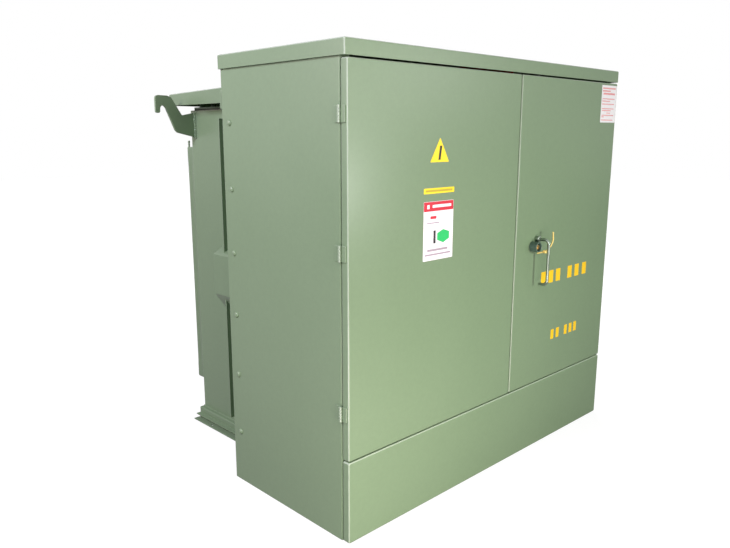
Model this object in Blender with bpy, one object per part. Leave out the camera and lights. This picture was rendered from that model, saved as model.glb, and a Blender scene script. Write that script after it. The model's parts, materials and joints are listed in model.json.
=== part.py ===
"""Three-phase pad-mounted transformer, built piece by piece.

Metres, +Z up. The front faces -Y. Lengths called "depth" or "back" are measured from the door face,
heights from the pad, and widths from the middle of the cabinet.
"""
import math

import bmesh
import bpy
from mathutils import Vector

# Fits
SEAT = 0.0003             # gap between pieces that are fastened together
RUNNING = 0.0005          # gap round a shaft or rod that moves
FUSE = 0.002              # how far welded shapes reach into each other

# Cabinet
CABINET_WIDTH = 1.690
CABINET_HEIGHT = 1.650
CABINET_DEPTH = 0.680
CABINET_SHEET = 0.0025
ROOF_SKIRT = 0.050
ROOF_SIDE_OVERHANG = 0.009
ROOF_REAR_GAP = 0.001
ROOF_FRONT_SETBACK = 0.002
ROOF_GAP = 0.006
SILL_HEIGHT = 0.297
SILL_GAP = 0.004
SILL_TAB_WIDTH = 0.030
SILL_TAB_INSET = 0.006
JAMB_GAP = 0.003
JAMB_WIDTH = 0.040
BARRIER_THICKNESS = 0.003
BARRIER_DOOR_GAP = 0.014

# Doors
DOOR_DEPTH = 0.031
DOOR_LIP = 0.018
DOOR_SPLIT = 0.073
DOOR_SEAM = 0.006

# Hinges
HINGE_END_INSET = 0.164
HINGE_MIDDLE_RISE = 0.0535
HINGE_LENGTH = 0.052
HINGE_LEAF = 0.0025
HINGE_LEAF_WIDTH = 0.025
HINGE_KNUCKLE_RADIUS = 0.006
HINGE_PIN_RADIUS = 0.0025
HINGE_KNUCKLES = 5
HINGE_SIDES = 12

# Bulkhead that closes the cabinet's back
BULKHEAD_SHEET = 0.004
BULKHEAD_FLANGE = 0.040
BULKHEAD_INSET = 0.030

# Tank and its base
TANK_WIDTH = 1.210
TANK_DEPTH = 0.6617
TANK_DROP = 0.176
TANK_WALL = 0.006
RIM_WIDTH = 0.055
LID_INSET = 0.012
GASKET_THICKNESS = 0.005
LID_THICKNESS = 0.008
STIFFENER_REACH = 0.045
STIFFENER_STEEL = 0.008
STIFFENER_REAR_INSET = 0.298
STIFFENER_END_GAP = 0.020
RAIL_HEIGHT = 0.055
RAIL_STEEL = 0.005
RAIL_TOE = 0.060
RAIL_WEB = 0.024
RAIL_MID_FLANGE = 0.046
RAIL_MID_HEIGHT = 0.027
RAIL_INNER = 0.045
RAIL_HOLE_RADIUS = 0.007
RAIL_HOLE_INSET = 0.136

# Weather hood over the lid
HOOD_SHEET = 0.003
HOOD_SIDE_OVERHANG = 0.067
HOOD_REAR_OVERHANG = 0.065
HOOD_FRONT_GAP = 0.008
HOOD_CLEARANCE = 0.021
HOOD_REAR_HEIGHT = 0.050
HOOD_FALL = 0.019
HOOD_RIB_SPACING = 0.640
HOOD_RIB_STEEL = 0.006
HOOD_RIB_INSET = 0.120

# Side brace: a pressed hat section along the tank's side
BRACE_REACH = 0.060
BRACE_TOP = 0.854
BRACE_BOTTOM = 0.673
BRACE_TOP_RISE = 0.034
BRACE_BOTTOM_DROP = 0.087
BRACE_STEEL = 0.004
BRACE_FRONT_INSET = 0.050
BRACE_LENGTH = 0.370

# Lifting hooks, as (reach from the wall, height over the tank's top)
HOOK_PLATE = 0.012
HOOK_REAR_INSET = 0.037
HOOK_FRONT_INSET = 0.110
HOOK_OUTLINE = (
    (0.000, -0.010), (0.065, -0.023), (0.114, 0.053), (0.133, 0.060), (0.176, 0.061), (0.187, 0.057),
    (0.190, 0.047), (0.190, -0.013), (0.170, -0.015), (0.168, 0.008), (0.162, 0.017), (0.151, 0.017),
    (0.142, 0.008), (0.101, -0.088), (0.090, -0.098), (0.000, -0.119),
)

# Radiators on the tank's back
RADIATOR_PANELS = 8
RADIATOR_PITCH = 0.050
RADIATOR_PANEL = 0.012
RADIATOR_DEPTH = 0.175
RADIATOR_STANDOFF = 0.025
RADIATOR_DROP = 0.165
RADIATOR_BOTTOM = 0.136
RADIATOR_INSET = 0.090
RADIATOR_HEADER_RADIUS = 0.034
RADIATOR_HEADER_SIDES = 10
RADIATOR_HEADER_INSET = 0.056
RADIATOR_STUB_RADIUS = 0.026
RADIATOR_PLUG_RADIUS = 0.0065
RADIATOR_PLUG_HEIGHT = 0.030

# Core and coils in the tank
LIMB_PITCH = 0.360
LIMB_WIDTH = 0.140
CORE_DEPTH = 0.150
YOKE_HEIGHT = 0.140
WINDOW_HEIGHT = 0.780
COIL_WIDTH = 0.330
COIL_DEPTH = 0.380
COIL_END_GAP = 0.020
COIL_CORNER = 0.110
COIL_BORE_CORNER = 0.0015
CLAMP_STEEL = 0.010
CLAMP_HEIGHT = 0.110

# What goes through the bulkhead: places across it, and drops below the tank's top
HV_FIRST_SIDE = -0.450
HV_PITCH = 0.160
HV_DROP = 0.454
LV_FIRST_SIDE = 0.160
LV_PITCH = 0.120
LV_DROP = 0.474
SWITCH_SIDE = -0.370
TAP_SIDE = -0.170
LEVER_DROP = 0.164
THERMOMETER_SIDE = 0.220
RELIEF_SIDE = 0.470
GAUGE_DROP = 0.144
DRAIN_SIDE = 0.430
DRAIN_HEIGHT = 0.160
BUSHING_RADIUS = 0.030
BUSHING_SIDES = 16
STEM_RADIUS = 0.010
STEM_HOLE_SIDES = 12
INSIDE_REACH = 0.060

# Bushings
HV_FLANGE_RADIUS = 0.058
HV_FLANGE_THICKNESS = 0.012
HV_REACH = 0.210
HV_ROOT_RADIUS = 0.044
HV_TIP_RADIUS = 0.024
LV_FLANGE_RADIUS = 0.048
LV_FLANGE_THICKNESS = 0.016
LV_STUD_RADIUS = 0.020
LV_STUD_REACH = 0.075
SPADE_REACH = 0.185
SPADE_HEIGHT = 0.090
SPADE_THICKNESS = 0.014
SPADE_HOLE_RADIUS = 0.007
SPADE_HOLE_SPACING = 0.044

# Fittings on the bulkhead
DIAL_RADIUS = 0.048
DIAL_DEPTH = 0.045
RELIEF_RADIUS = 0.026
RELIEF_DEPTH = 0.040
RELIEF_STEM_RADIUS = 0.005
RELIEF_STROKE = 0.008
RELIEF_PULL_RADIUS = 0.012
RELIEF_PULL_THICKNESS = 0.006
VALVE_RADIUS = 0.024
VALVE_REACH = 0.085
VALVE_OUTLET_RADIUS = 0.017
VALVE_OUTLET_DROP = 0.060
WHEEL_RADIUS = 0.036
WHEEL_THICKNESS = 0.012
LEVER_HUB_RADIUS = 0.026
LEVER_HUB_DEPTH = 0.034
LEVER_WIDTH = 0.018
SWITCH_LEVER = 0.120
TAP_LEVER = 0.070

# Handle, bolt and latch of the right door
HANDLE_SIDE = 0.227
HANDLE_HEIGHT = 0.941
HANDLE_REACH = 0.066
HANDLE_LEG = 0.188
HANDLE_RADIUS = 0.006
HANDLE_BEND = 0.020
HANDLE_BEND_STEPS = 4
HANDLE_FOOT_GAP = 0.022
HANDLE_HUB_RADIUS = 0.014
HANDLE_HUB_LENGTH = 0.018
GUARD_ASIDE = 0.030
GUARD_DROP = 0.029
GUARD_RADIUS = 0.0215
GUARD_BORE = 0.0165
GUARD_REACH = 0.034
GUARD_FLOOR = 0.004
BOLT_RADIUS = 0.006
BOLT_HEAD_RADIUS = 0.0105
BOLT_HEAD_LENGTH = 0.020
BOLT_TAIL = 0.007
CAM_RADIUS = 0.034
CAM_THICKNESS = 0.006
CAM_GAP = 0.0025
CRANK_RADIUS = 0.028
CRANK_PIN_RADIUS = 0.004
CRANK_PIN_PLAY = 0.0015
ROD_WIDTH = 0.016
ROD_THICKNESS = 0.004
ROD_TIP = 0.003
YOKE_MARGIN = 0.006
GUIDE_WALL = 0.006
GUIDE_HEIGHT = 0.022
GUIDE_FROM_CAM = 0.110
GUIDE_FROM_TIP = 0.080

# Worked out from the sizes above
HALF_WIDTH = CABINET_WIDTH / 2
DOOR_TOP = CABINET_HEIGHT - ROOF_SKIRT - ROOF_GAP
DOOR_BOTTOM = SILL_HEIGHT + SILL_GAP
HINGE_HEIGHTS = (DOOR_BOTTOM + HINGE_END_INSET, (DOOR_BOTTOM + DOOR_TOP) / 2 + HINGE_MIDDLE_RISE,
                 DOOR_TOP - HINGE_END_INSET)
JAMB_FRONT = DOOR_DEPTH + JAMB_GAP
PANEL_TOP = CABINET_HEIGHT - CABINET_SHEET - SEAT
HINGE_OUT = HALF_WIDTH + SEAT + HINGE_KNUCKLE_RADIUS
HINGE_BACK = DOOR_DEPTH + JAMB_GAP / 2
BULKHEAD_BACK = CABINET_DEPTH - BULKHEAD_INSET
BULKHEAD_FACE = BULKHEAD_BACK - BULKHEAD_SHEET
FITTING_SEAT = BULKHEAD_FACE - SEAT
TANK_HALF = TANK_WIDTH / 2
TANK_FRONT = BULKHEAD_BACK + SEAT
TANK_REAR = TANK_FRONT + TANK_DEPTH
TANK_TOP = CABINET_HEIGHT - TANK_DROP
TANK_FLOOR = RAIL_HEIGHT + SEAT
TANK_INSIDE = TANK_FRONT + TANK_WALL
LID_BOTTOM = TANK_TOP + GASKET_THICKNESS + 2 * SEAT
LID_TOP = LID_BOTTOM + LID_THICKNESS
STIFFENER_BACK = TANK_REAR - STIFFENER_REAR_INSET
BRACE_FRONT = TANK_FRONT + BRACE_FRONT_INSET
BRACE_REAR = BRACE_FRONT + BRACE_LENGTH
HOOD_BOTTOM = TANK_TOP + HOOD_CLEARANCE
ROOF_REAR = CABINET_DEPTH + ROOF_REAR_GAP + CABINET_SHEET
HOOD_FRONT = ROOF_REAR + HOOD_FRONT_GAP
HOOD_REAR = TANK_REAR + HOOD_REAR_OVERHANG
RADIATOR_FRONT = TANK_REAR + RADIATOR_STANDOFF
RADIATOR_REAR = RADIATOR_FRONT + RADIATOR_DEPTH
RADIATOR_TOP = TANK_TOP - RADIATOR_DROP
HV_PLACES = {f"hv_bushing_{phase}": (HV_FIRST_SIDE + i * HV_PITCH, TANK_TOP - HV_DROP)
             for i, phase in enumerate("abc")}
LV_PLACES = {f"lv_bushing_{phase}": (LV_FIRST_SIDE + i * LV_PITCH, TANK_TOP - LV_DROP)
             for i, phase in enumerate("nabc")}
SWITCH_PLACE = (SWITCH_SIDE, TANK_TOP - LEVER_DROP)
TAP_PLACE = (TAP_SIDE, TANK_TOP - LEVER_DROP)
THERMOMETER_PLACE = (THERMOMETER_SIDE, TANK_TOP - GAUGE_DROP)
RELIEF_PLACE = (RELIEF_SIDE, TANK_TOP - GAUGE_DROP)
DRAIN_PLACE = (DRAIN_SIDE, DRAIN_HEIGHT)
CAM_BACK = CABINET_SHEET + CAM_GAP + CAM_THICKNESS
ROD_FRONT = CAM_BACK + RUNNING
ROD_BACK = ROD_FRONT + ROD_THICKNESS
GUARD_SIDE = HANDLE_SIDE - GUARD_ASIDE
GUARD_HEIGHT = HANDLE_HEIGHT - GUARD_DROP
TOTAL_DEPTH = HANDLE_REACH + RADIATOR_REAR
DOOR_FACE = HANDLE_REACH - TOTAL_DEPTH / 2

# Finishes, as (red, green, blue, roughness, metallic)
FINISHES = {
    "green_enamel": (0.30, 0.40, 0.29, 0.35, 0.0),
    "bare_steel": (0.45, 0.45, 0.44, 0.45, 1.0),
    "zinc_plate": (0.60, 0.60, 0.57, 0.35, 1.0),
    "brass": (0.72, 0.52, 0.22, 0.35, 1.0),
    "copper": (0.74, 0.42, 0.28, 0.40, 1.0),
    "kraft_paper": (0.45, 0.33, 0.20, 0.80, 0.0),
    "core_steel": (0.20, 0.21, 0.22, 0.50, 1.0),
    "nitrile_rubber": (0.03, 0.03, 0.03, 0.80, 0.0),
    "epoxy": (0.30, 0.12, 0.08, 0.40, 0.0),
    "insulating_board": (0.55, 0.12, 0.08, 0.60, 0.0),
    "yellow_plastic": (0.80, 0.55, 0.05, 0.45, 0.0),
}

for old in list(bpy.data.objects):
    bpy.data.objects.remove(old, do_unlink=True)

base = bpy.data.objects.new("transformer", None)
base.location = (0, DOOR_FACE, 0)
bpy.context.scene.collection.objects.link(base)
pivots = {base: Vector((0, 0, 0))}


# Shapes, each returned as a closed bmesh

def loft(rings, ring_closed=False):
    """Skin a row of equal rings; the ends are capped, or joined when ring_closed."""
    shape = bmesh.new()
    rows = [[shape.verts.new(point) for point in ring] for ring in rings]
    count = len(rows[0])
    pairs = list(zip(rows, rows[1:]))
    if ring_closed:
        pairs.append((rows[-1], rows[0]))
    else:
        shape.faces.new(rows[0])
        shape.faces.new(rows[-1])
    for near, far in pairs:
        for i in range(count):
            j = (i + 1) % count
            shape.faces.new((near[i], near[j], far[j], far[i]))
    bmesh.ops.recalc_face_normals(shape, faces=shape.faces)
    return shape


def turn_axes(axis, across, along_u, along_v):
    """A point with its coordinate on the axis first and the other two in x, y, z order."""
    point = [along_u, along_v]
    point.insert("xyz".index(axis), across)
    return tuple(point)


def rectangle(axis, across, low, high):
    """Four corners of a rectangle square to an axis."""
    (u0, v0), (u1, v1) = low, high
    return [turn_axes(axis, across, u, v) for u, v in ((u0, v0), (u1, v0), (u1, v1), (u0, v1))]


def block(low, high):
    return loft([rectangle("z", z, low[:2], high[:2]) for z in (low[2], high[2])])


def prism(outline, axis, start, end):
    return loft([[turn_axes(axis, across, u, v) for u, v in outline] for across in (start, end)])


def cup(low, high, wall, open_to, lip=0.0):
    """A box of sheet with one open side, named like "+y", and an inward lip round it if asked."""
    axis = open_to[1]
    k = "xyz".index(axis)
    sides = [i for i in range(3) if i != k]
    opening, floor = (high[k], low[k]) if open_to[0] == "+" else (low[k], high[k])
    inward = math.copysign(wall, floor - opening)

    def ring(across, inset):
        return rectangle(axis, across, [low[i] + inset for i in sides], [high[i] - inset for i in sides])

    rings = [ring(floor, 0), ring(opening, 0)]
    if lip:
        rings += [ring(opening, lip), ring(opening + inward, lip), ring(opening + inward, wall)]
    else:
        rings += [ring(opening, wall)]
    rings.append(ring(floor - inward, wall))
    return loft(rings)


def circle(axis, across, centre, radius, sides, turn=0.0):
    angles = [turn + 2 * math.pi * i / sides for i in range(sides)]
    return [turn_axes(axis, across, centre[0] + radius * math.cos(a), centre[1] + radius * math.sin(a))
            for a in angles]


def turned(axis, centre, profile, sides=16):
    """A solid of revolution; the profile is a list of (place on the axis, radius)."""
    return loft([circle(axis, across, centre, radius, sides) for across, radius in profile])


def bar(axis, centre, radius, start, end, sides=16, turn=0.0):
    return loft([circle(axis, across, centre, radius, sides, turn) for across in (start, end)])


def bored_bar(axis, centre, radius, bore, start, end, sides=16):
    rings = [(start, radius), (end, radius), (end, bore), (start, bore)]
    return loft([circle(axis, across, centre, r, sides) for across, r in rings], ring_closed=True)


def rounded_rectangle(axis, across, centre, size, corner, steps=4):
    points = []
    for quarter, (su, sv) in enumerate(((1, 1), (-1, 1), (-1, -1), (1, -1))):
        middle_u = centre[0] + su * (size[0] / 2 - corner)
        middle_v = centre[1] + sv * (size[1] / 2 - corner)
        for i in range(steps + 1):
            a = math.pi / 2 * (quarter + i / steps)
            u = middle_u + corner * math.cos(a)
            v = middle_v + corner * math.sin(a)
            points.append(turn_axes(axis, across, u, v))
    return points


def bent_rod(path, radius, sides=12):
    """A round rod along points in one plane x = constant."""
    side = Vector((1, 0, 0))
    rings = []
    for i, point in enumerate(path):
        ahead = (path[min(i + 1, len(path) - 1)] - path[max(i - 1, 0)]).normalized()
        up = side.cross(ahead)
        angles = [2 * math.pi * k / sides for k in range(sides)]
        rings.append([point + radius * (math.cos(a) * side + math.sin(a) * up) for a in angles])
    return loft(rings)


def together(shapes):
    """Several shapes that don't touch, in one bmesh."""
    whole = bmesh.new()
    for shape in shapes:
        piece = bpy.data.meshes.new("piece")
        shape.to_mesh(piece)
        whole.from_mesh(piece)
        shape.free()
        bpy.data.meshes.remove(piece)
    return whole


# Objects

def place(name, shape, pivot, parent):
    mesh = bpy.data.meshes.new(name)
    bmesh.ops.translate(shape, verts=shape.verts, vec=-Vector(pivot))
    shape.to_mesh(mesh)
    shape.free()
    item = bpy.data.objects.new(name, mesh)
    item.location = Vector(pivot) - pivots[parent]
    item.parent = parent
    pivots[item] = Vector(pivot)
    bpy.context.scene.collection.objects.link(item)
    return item


def finish(name, finish_name):
    red, green, blue, roughness, metallic = FINISHES[finish_name]
    material = bpy.data.materials.new(f"{name}_{finish_name}")
    material.use_nodes = True
    shader = material.node_tree.nodes["Principled BSDF"]
    shader.inputs["Base Color"].default_value = (red, green, blue, 1)
    shader.inputs["Roughness"].default_value = roughness
    shader.inputs["Metallic"].default_value = metallic
    return material


def piece(name, shape, finish_name="green_enamel", pivot=(0, 0, 0), parent=base, round_angle=None):
    item = place(name, shape, pivot, parent)
    item.data.materials.append(finish(name, finish_name))
    if round_angle:
        item.data.shade_smooth()
        item.data.set_sharp_from_angle(angle=math.radians(round_angle))
    return item


def combine(item, shape, operation):
    """Weld a shape to an item, or cut it away, keeping the shape as a hidden guide."""
    guide = place(f"{item.name}_{operation.lower()}_{len(item.modifiers)}", shape, pivots[item], item)
    guide.hide_render = True
    guide.display_type = "WIRE"
    modifier = item.modifiers.new(operation.title(), "BOOLEAN")
    modifier.operation = operation
    modifier.solver = "EXACT"
    modifier.object = guide


def weld(item, *shapes):
    combine(item, together(shapes), "UNION")


def cut(item, *shapes):
    combine(item, together(shapes), "DIFFERENCE")


# Cabinet

def side_panel(name, side):
    outer = side * HALF_WIDTH
    inner = side * (HALF_WIDTH - CABINET_SHEET)
    jamb = side * (HALF_WIDTH - JAMB_WIDTH)
    outline = [(outer, JAMB_FRONT), (outer, CABINET_DEPTH), (inner, CABINET_DEPTH),
               (inner, JAMB_FRONT + CABINET_SHEET), (jamb, JAMB_FRONT + CABINET_SHEET), (jamb, JAMB_FRONT)]
    piece(name, prism(outline, "z", 0, PANEL_TOP))


def cabinet_roof():
    reach = HALF_WIDTH + ROOF_SIDE_OVERHANG
    low = (-reach, ROOF_FRONT_SETBACK, CABINET_HEIGHT - ROOF_SKIRT)
    high = (reach, ROOF_REAR, CABINET_HEIGHT)
    piece("cabinet_roof", cup(low, high, CABINET_SHEET, "-z"))


def front_sill():
    low = (-HALF_WIDTH, 0, 0)
    high = (HALF_WIDTH, DOOR_DEPTH, SILL_HEIGHT)
    sill = piece("front_sill", cup(low, high, CABINET_SHEET, "+y", DOOR_LIP))
    tabs = []
    for side in (-1, 1):
        edges = sorted(side * (HALF_WIDTH - SILL_TAB_INSET - step) for step in (0, SILL_TAB_WIDTH))
        tab_low = (edges[0], CABINET_SHEET - FUSE, SILL_HEIGHT / 4)
        tabs.append(block(tab_low, (edges[1], JAMB_FRONT - SEAT, SILL_HEIGHT * 3 / 4)))
    weld(sill, *tabs)


def compartment_barrier():
    low = (DOOR_SPLIT - BARRIER_THICKNESS / 2, DOOR_DEPTH + BARRIER_DOOR_GAP, BULKHEAD_SHEET + SEAT)
    high = (DOOR_SPLIT + BARRIER_THICKNESS / 2, FITTING_SEAT, PANEL_TOP - BULKHEAD_SHEET - SEAT)
    piece("compartment_barrier", block(low, high), "insulating_board")


def wall_holes(start, end):
    """Cutters for everything that passes through the bulkhead and the tank's front wall."""
    holes = []
    for centre in list(HV_PLACES.values()) + list(LV_PLACES.values()):
        holes.append(bar("y", centre, BUSHING_RADIUS + RUNNING, start, end, BUSHING_SIDES))
    for centre in (SWITCH_PLACE, TAP_PLACE, THERMOMETER_PLACE, RELIEF_PLACE, DRAIN_PLACE):
        holes.append(bar("y", centre, STEM_RADIUS + RUNNING, start, end, STEM_HOLE_SIDES))
    return holes


def bulkhead():
    reach = HALF_WIDTH - CABINET_SHEET - SEAT
    low = (-reach, BULKHEAD_BACK - BULKHEAD_FLANGE, 0)
    high = (reach, BULKHEAD_BACK, PANEL_TOP)
    wall = piece("bulkhead", cup(low, high, BULKHEAD_SHEET, "-y"))
    cut(wall, *wall_holes(BULKHEAD_FACE - FUSE, BULKHEAD_BACK + FUSE))


# Tank

def tank():
    low = (-TANK_HALF, TANK_FRONT, TANK_FLOOR)
    body = piece("tank", cup(low, (TANK_HALF, TANK_REAR, TANK_TOP), TANK_WALL, "+z", RIM_WIDTH))
    weld(body, *[stiffener(side, low, high) for side in (-1, 1) for low, high in stiffener_spans()])
    cut(body, *wall_holes(TANK_FRONT - FUSE, TANK_INSIDE + FUSE))


def stiffener_spans():
    """Heights of the flat bars below and above the brace."""
    lower = (TANK_FLOOR + 2 * STIFFENER_END_GAP, BRACE_BOTTOM - BRACE_BOTTOM_DROP - STIFFENER_END_GAP)
    upper = (BRACE_TOP + BRACE_TOP_RISE + STIFFENER_END_GAP, TANK_TOP - 2 * STIFFENER_END_GAP)
    return lower, upper


def stiffener(side, bottom, top):
    root = side * (TANK_HALF - FUSE)
    tip = side * (TANK_HALF + STIFFENER_REACH)
    front = STIFFENER_BACK - STIFFENER_STEEL
    outline = [(root, STIFFENER_BACK), (tip, STIFFENER_BACK), (tip, front), (root, front)]
    return prism(outline, "z", bottom, top)


def lid_and_gasket():
    def ring(inset, height):
        return rectangle("z", height, (-TANK_HALF + inset, TANK_FRONT + inset), (TANK_HALF - inset, TANK_REAR - inset))

    bottom = TANK_TOP + SEAT
    top = bottom + GASKET_THICKNESS
    gasket = loft([ring(LID_INSET, bottom), ring(LID_INSET, top), ring(RIM_WIDTH, top), ring(RIM_WIDTH, bottom)],
                  ring_closed=True)
    piece("lid_gasket", gasket, "nitrile_rubber")
    piece("tank_lid", loft([ring(LID_INSET, LID_BOTTOM), ring(LID_INSET, LID_TOP)]))


def tank_hood():
    reach = TANK_HALF + HOOD_SIDE_OVERHANG
    rear_top = HOOD_BOTTOM + HOOD_REAR_HEIGHT
    front_top = rear_top + HOOD_FALL

    def ring(inset, drop, front_level, rear_level):
        x, front, rear = reach - inset, HOOD_FRONT + inset, HOOD_REAR - inset
        return [(-x, front, front_level - drop), (x, front, front_level - drop),
                (x, rear, rear_level - drop), (-x, rear, rear_level - drop)]

    rings = [ring(0, 0, front_top, rear_top), ring(0, 0, HOOD_BOTTOM, HOOD_BOTTOM),
             ring(HOOD_SHEET, 0, HOOD_BOTTOM, HOOD_BOTTOM), ring(HOOD_SHEET, HOOD_SHEET, front_top, rear_top)]
    hood = piece("tank_hood", loft(rings))
    front = HOOD_FRONT + HOOD_RIB_INSET
    rear = HOOD_REAR - HOOD_RIB_INSET
    slope = HOOD_FALL / (HOOD_REAR - HOOD_FRONT)
    under = FUSE - HOOD_SHEET
    outline = [(front, LID_TOP + SEAT), (rear, LID_TOP + SEAT),
               (rear, rear_top + slope * (HOOD_REAR - rear) + under),
               (front, rear_top + slope * (HOOD_REAR - front) + under)]
    places = [side * HOOD_RIB_SPACING / 2 for side in (-1, 1)]
    weld(hood, *[prism(outline, "x", x - HOOD_RIB_STEEL / 2, x + HOOD_RIB_STEEL / 2) for x in places])


def base_rail(name, side):
    def out(reach):
        return side * (TANK_HALF + reach)

    steel, mid = RAIL_STEEL, RAIL_MID_HEIGHT
    inner_web = RAIL_WEB - steel
    outline = [(out(-RAIL_INNER), 0), (out(RAIL_TOE), 0), (out(RAIL_TOE), steel), (out(RAIL_WEB), steel),
               (out(RAIL_WEB), mid - steel), (out(RAIL_MID_FLANGE), mid - steel), (out(RAIL_MID_FLANGE), mid),
               (out(RAIL_WEB), mid), (out(RAIL_WEB), RAIL_HEIGHT), (out(-RAIL_INNER), RAIL_HEIGHT),
               (out(-RAIL_INNER), RAIL_HEIGHT - steel), (out(inner_web), RAIL_HEIGHT - steel),
               (out(inner_web), steel), (out(-RAIL_INNER), steel)]
    rail = piece(name, prism(outline, "y", TANK_FRONT, TANK_REAR))
    hole_side = out((RAIL_TOE + RAIL_WEB) / 2)
    backs = (TANK_FRONT + RAIL_HOLE_INSET, TANK_REAR - RAIL_HOLE_INSET)
    cut(rail, *[bar("z", (hole_side, back), RAIL_HOLE_RADIUS, -FUSE, steel + FUSE, 12) for back in backs])


def side_brace(name, side):
    wall = side * (TANK_HALF + SEAT)
    face = side * (TANK_HALF + BRACE_REACH)
    inner_face = side * (TANK_HALF + BRACE_REACH - BRACE_STEEL)
    root_bottom = BRACE_BOTTOM - BRACE_BOTTOM_DROP
    root_top = BRACE_TOP + BRACE_TOP_RISE

    def ring(across, inset, bottom, top):
        low = (BRACE_FRONT + inset, bottom + inset)
        return rectangle("x", across, low, (BRACE_REAR - inset, top - inset))

    piece(name, loft([ring(face, 0, BRACE_BOTTOM, BRACE_TOP), ring(wall, 0, root_bottom, root_top),
                      ring(wall, BRACE_STEEL, root_bottom, root_top),
                      ring(inner_face, BRACE_STEEL, BRACE_BOTTOM, BRACE_TOP)]))


def lifting_hook(name, side, back):
    outline = [(side * (TANK_HALF + SEAT + reach), TANK_TOP + rise) for reach, rise in HOOK_OUTLINE]
    piece(name, prism(outline, "y", back - HOOK_PLATE / 2, back + HOOK_PLATE / 2))


def radiator(name, side):
    first = TANK_HALF - RADIATOR_INSET - RADIATOR_PANEL / 2
    centres = [side * (first - i * RADIATOR_PITCH) for i in range(RADIATOR_PANELS)]
    panels = [block((x - RADIATOR_PANEL / 2, RADIATOR_FRONT, RADIATOR_BOTTOM),
                    (x + RADIATOR_PANEL / 2, RADIATOR_REAR, RADIATOR_TOP)) for x in centres]
    bank = piece(name, together(panels))
    middle = RADIATOR_FRONT + RADIATOR_DEPTH / 2
    levels = (RADIATOR_BOTTOM + RADIATOR_HEADER_INSET, RADIATOR_TOP - RADIATOR_HEADER_INSET)
    ends = sorted((centres[0], centres[-1]))
    sides = RADIATOR_HEADER_SIDES
    weld(bank, *[bar("x", (middle, z), RADIATOR_HEADER_RADIUS, *ends, sides) for z in levels])
    stub_x = (centres[0] + centres[-1]) / 2
    weld(bank, *[bar("y", (stub_x, z), RADIATOR_STUB_RADIUS, TANK_REAR + SEAT, middle, sides)
                 for z in levels])
    plug_back = RADIATOR_REAR - 2 * RADIATOR_PLUG_RADIUS
    plug_top = RADIATOR_TOP + RADIATOR_PLUG_HEIGHT
    plug_radius = min(RADIATOR_PLUG_RADIUS, RADIATOR_PANEL / 2 - SEAT)
    weld(bank, bar("z", (centres[0], plug_back), plug_radius, RADIATOR_TOP - FUSE, plug_top, 10))


# Core and coils

def core_and_coils():
    middle = (TANK_FRONT + TANK_REAR) / 2
    bottom = TANK_FLOOR + TANK_WALL + CLAMP_STEEL + 2 * SEAT
    window = bottom + YOKE_HEIGHT
    top = window + WINDOW_HEIGHT + YOKE_HEIGHT
    half = LIMB_PITCH + LIMB_WIDTH / 2
    stack = block((-half, middle - CORE_DEPTH / 2, bottom), (half, middle + CORE_DEPTH / 2, top))
    core = piece("core", stack, "core_steel")
    windows = []
    for side in (-1, 1):
        edges = sorted((side * LIMB_WIDTH / 2, side * (LIMB_PITCH - LIMB_WIDTH / 2)))
        windows.append(block((edges[0], middle - CORE_DEPTH, window),
                             (edges[1], middle + CORE_DEPTH, window + WINDOW_HEIGHT)))
    cut(core, *windows)
    for name, x in (("coil_a", -LIMB_PITCH), ("coil_b", 0), ("coil_c", LIMB_PITCH)):
        ends = (window + COIL_END_GAP, window + WINDOW_HEIGHT - COIL_END_GAP)
        outside = ((COIL_WIDTH, COIL_DEPTH), COIL_CORNER)
        bore = ((LIMB_WIDTH + 2 * RUNNING, CORE_DEPTH + 2 * RUNNING), COIL_BORE_CORNER)
        rings = [(ends[0], outside), (ends[1], outside), (ends[1], bore), (ends[0], bore)]
        coil = loft([rounded_rectangle("z", z, (x, middle), *form) for z, form in rings], ring_closed=True)
        piece(name, coil, "kraft_paper", round_angle=40)
    inside = CORE_DEPTH / 2 + RUNNING
    outside = inside + CLAMP_STEEL
    for name, floor, rise in (("core_clamp_bottom", bottom - SEAT, 1), ("core_clamp_top", top + SEAT, -1)):
        outline = [(-outside, -CLAMP_STEEL), (outside, -CLAMP_STEEL), (outside, CLAMP_HEIGHT),
                   (inside, CLAMP_HEIGHT), (inside, 0), (-inside, 0), (-inside, CLAMP_HEIGHT),
                   (-outside, CLAMP_HEIGHT)]
        channel = [(middle + y, floor + rise * z) for y, z in outline]
        piece(name, prism(channel, "x", -half, half), "bare_steel")


# Bushings and fittings on the bulkhead

def bushing_root():
    """The turned profile inside the tank and through its wall, up to the bulkhead's face."""
    end = TANK_INSIDE + INSIDE_REACH
    shoulder = TANK_INSIDE + INSIDE_REACH / 2
    return [(end, STEM_RADIUS), (shoulder, STEM_RADIUS), (shoulder, BUSHING_RADIUS),
            (FITTING_SEAT, BUSHING_RADIUS)]


def hv_bushing(name, centre):
    seat = FITTING_SEAT
    flange = seat - HV_FLANGE_THICKNESS
    profile = bushing_root()
    profile += [(seat, HV_FLANGE_RADIUS), (flange, HV_FLANGE_RADIUS), (flange, HV_ROOT_RADIUS),
                (seat - HV_REACH, HV_TIP_RADIUS)]
    piece(name, turned("y", centre, profile, BUSHING_SIDES), "epoxy", round_angle=35)


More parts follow.
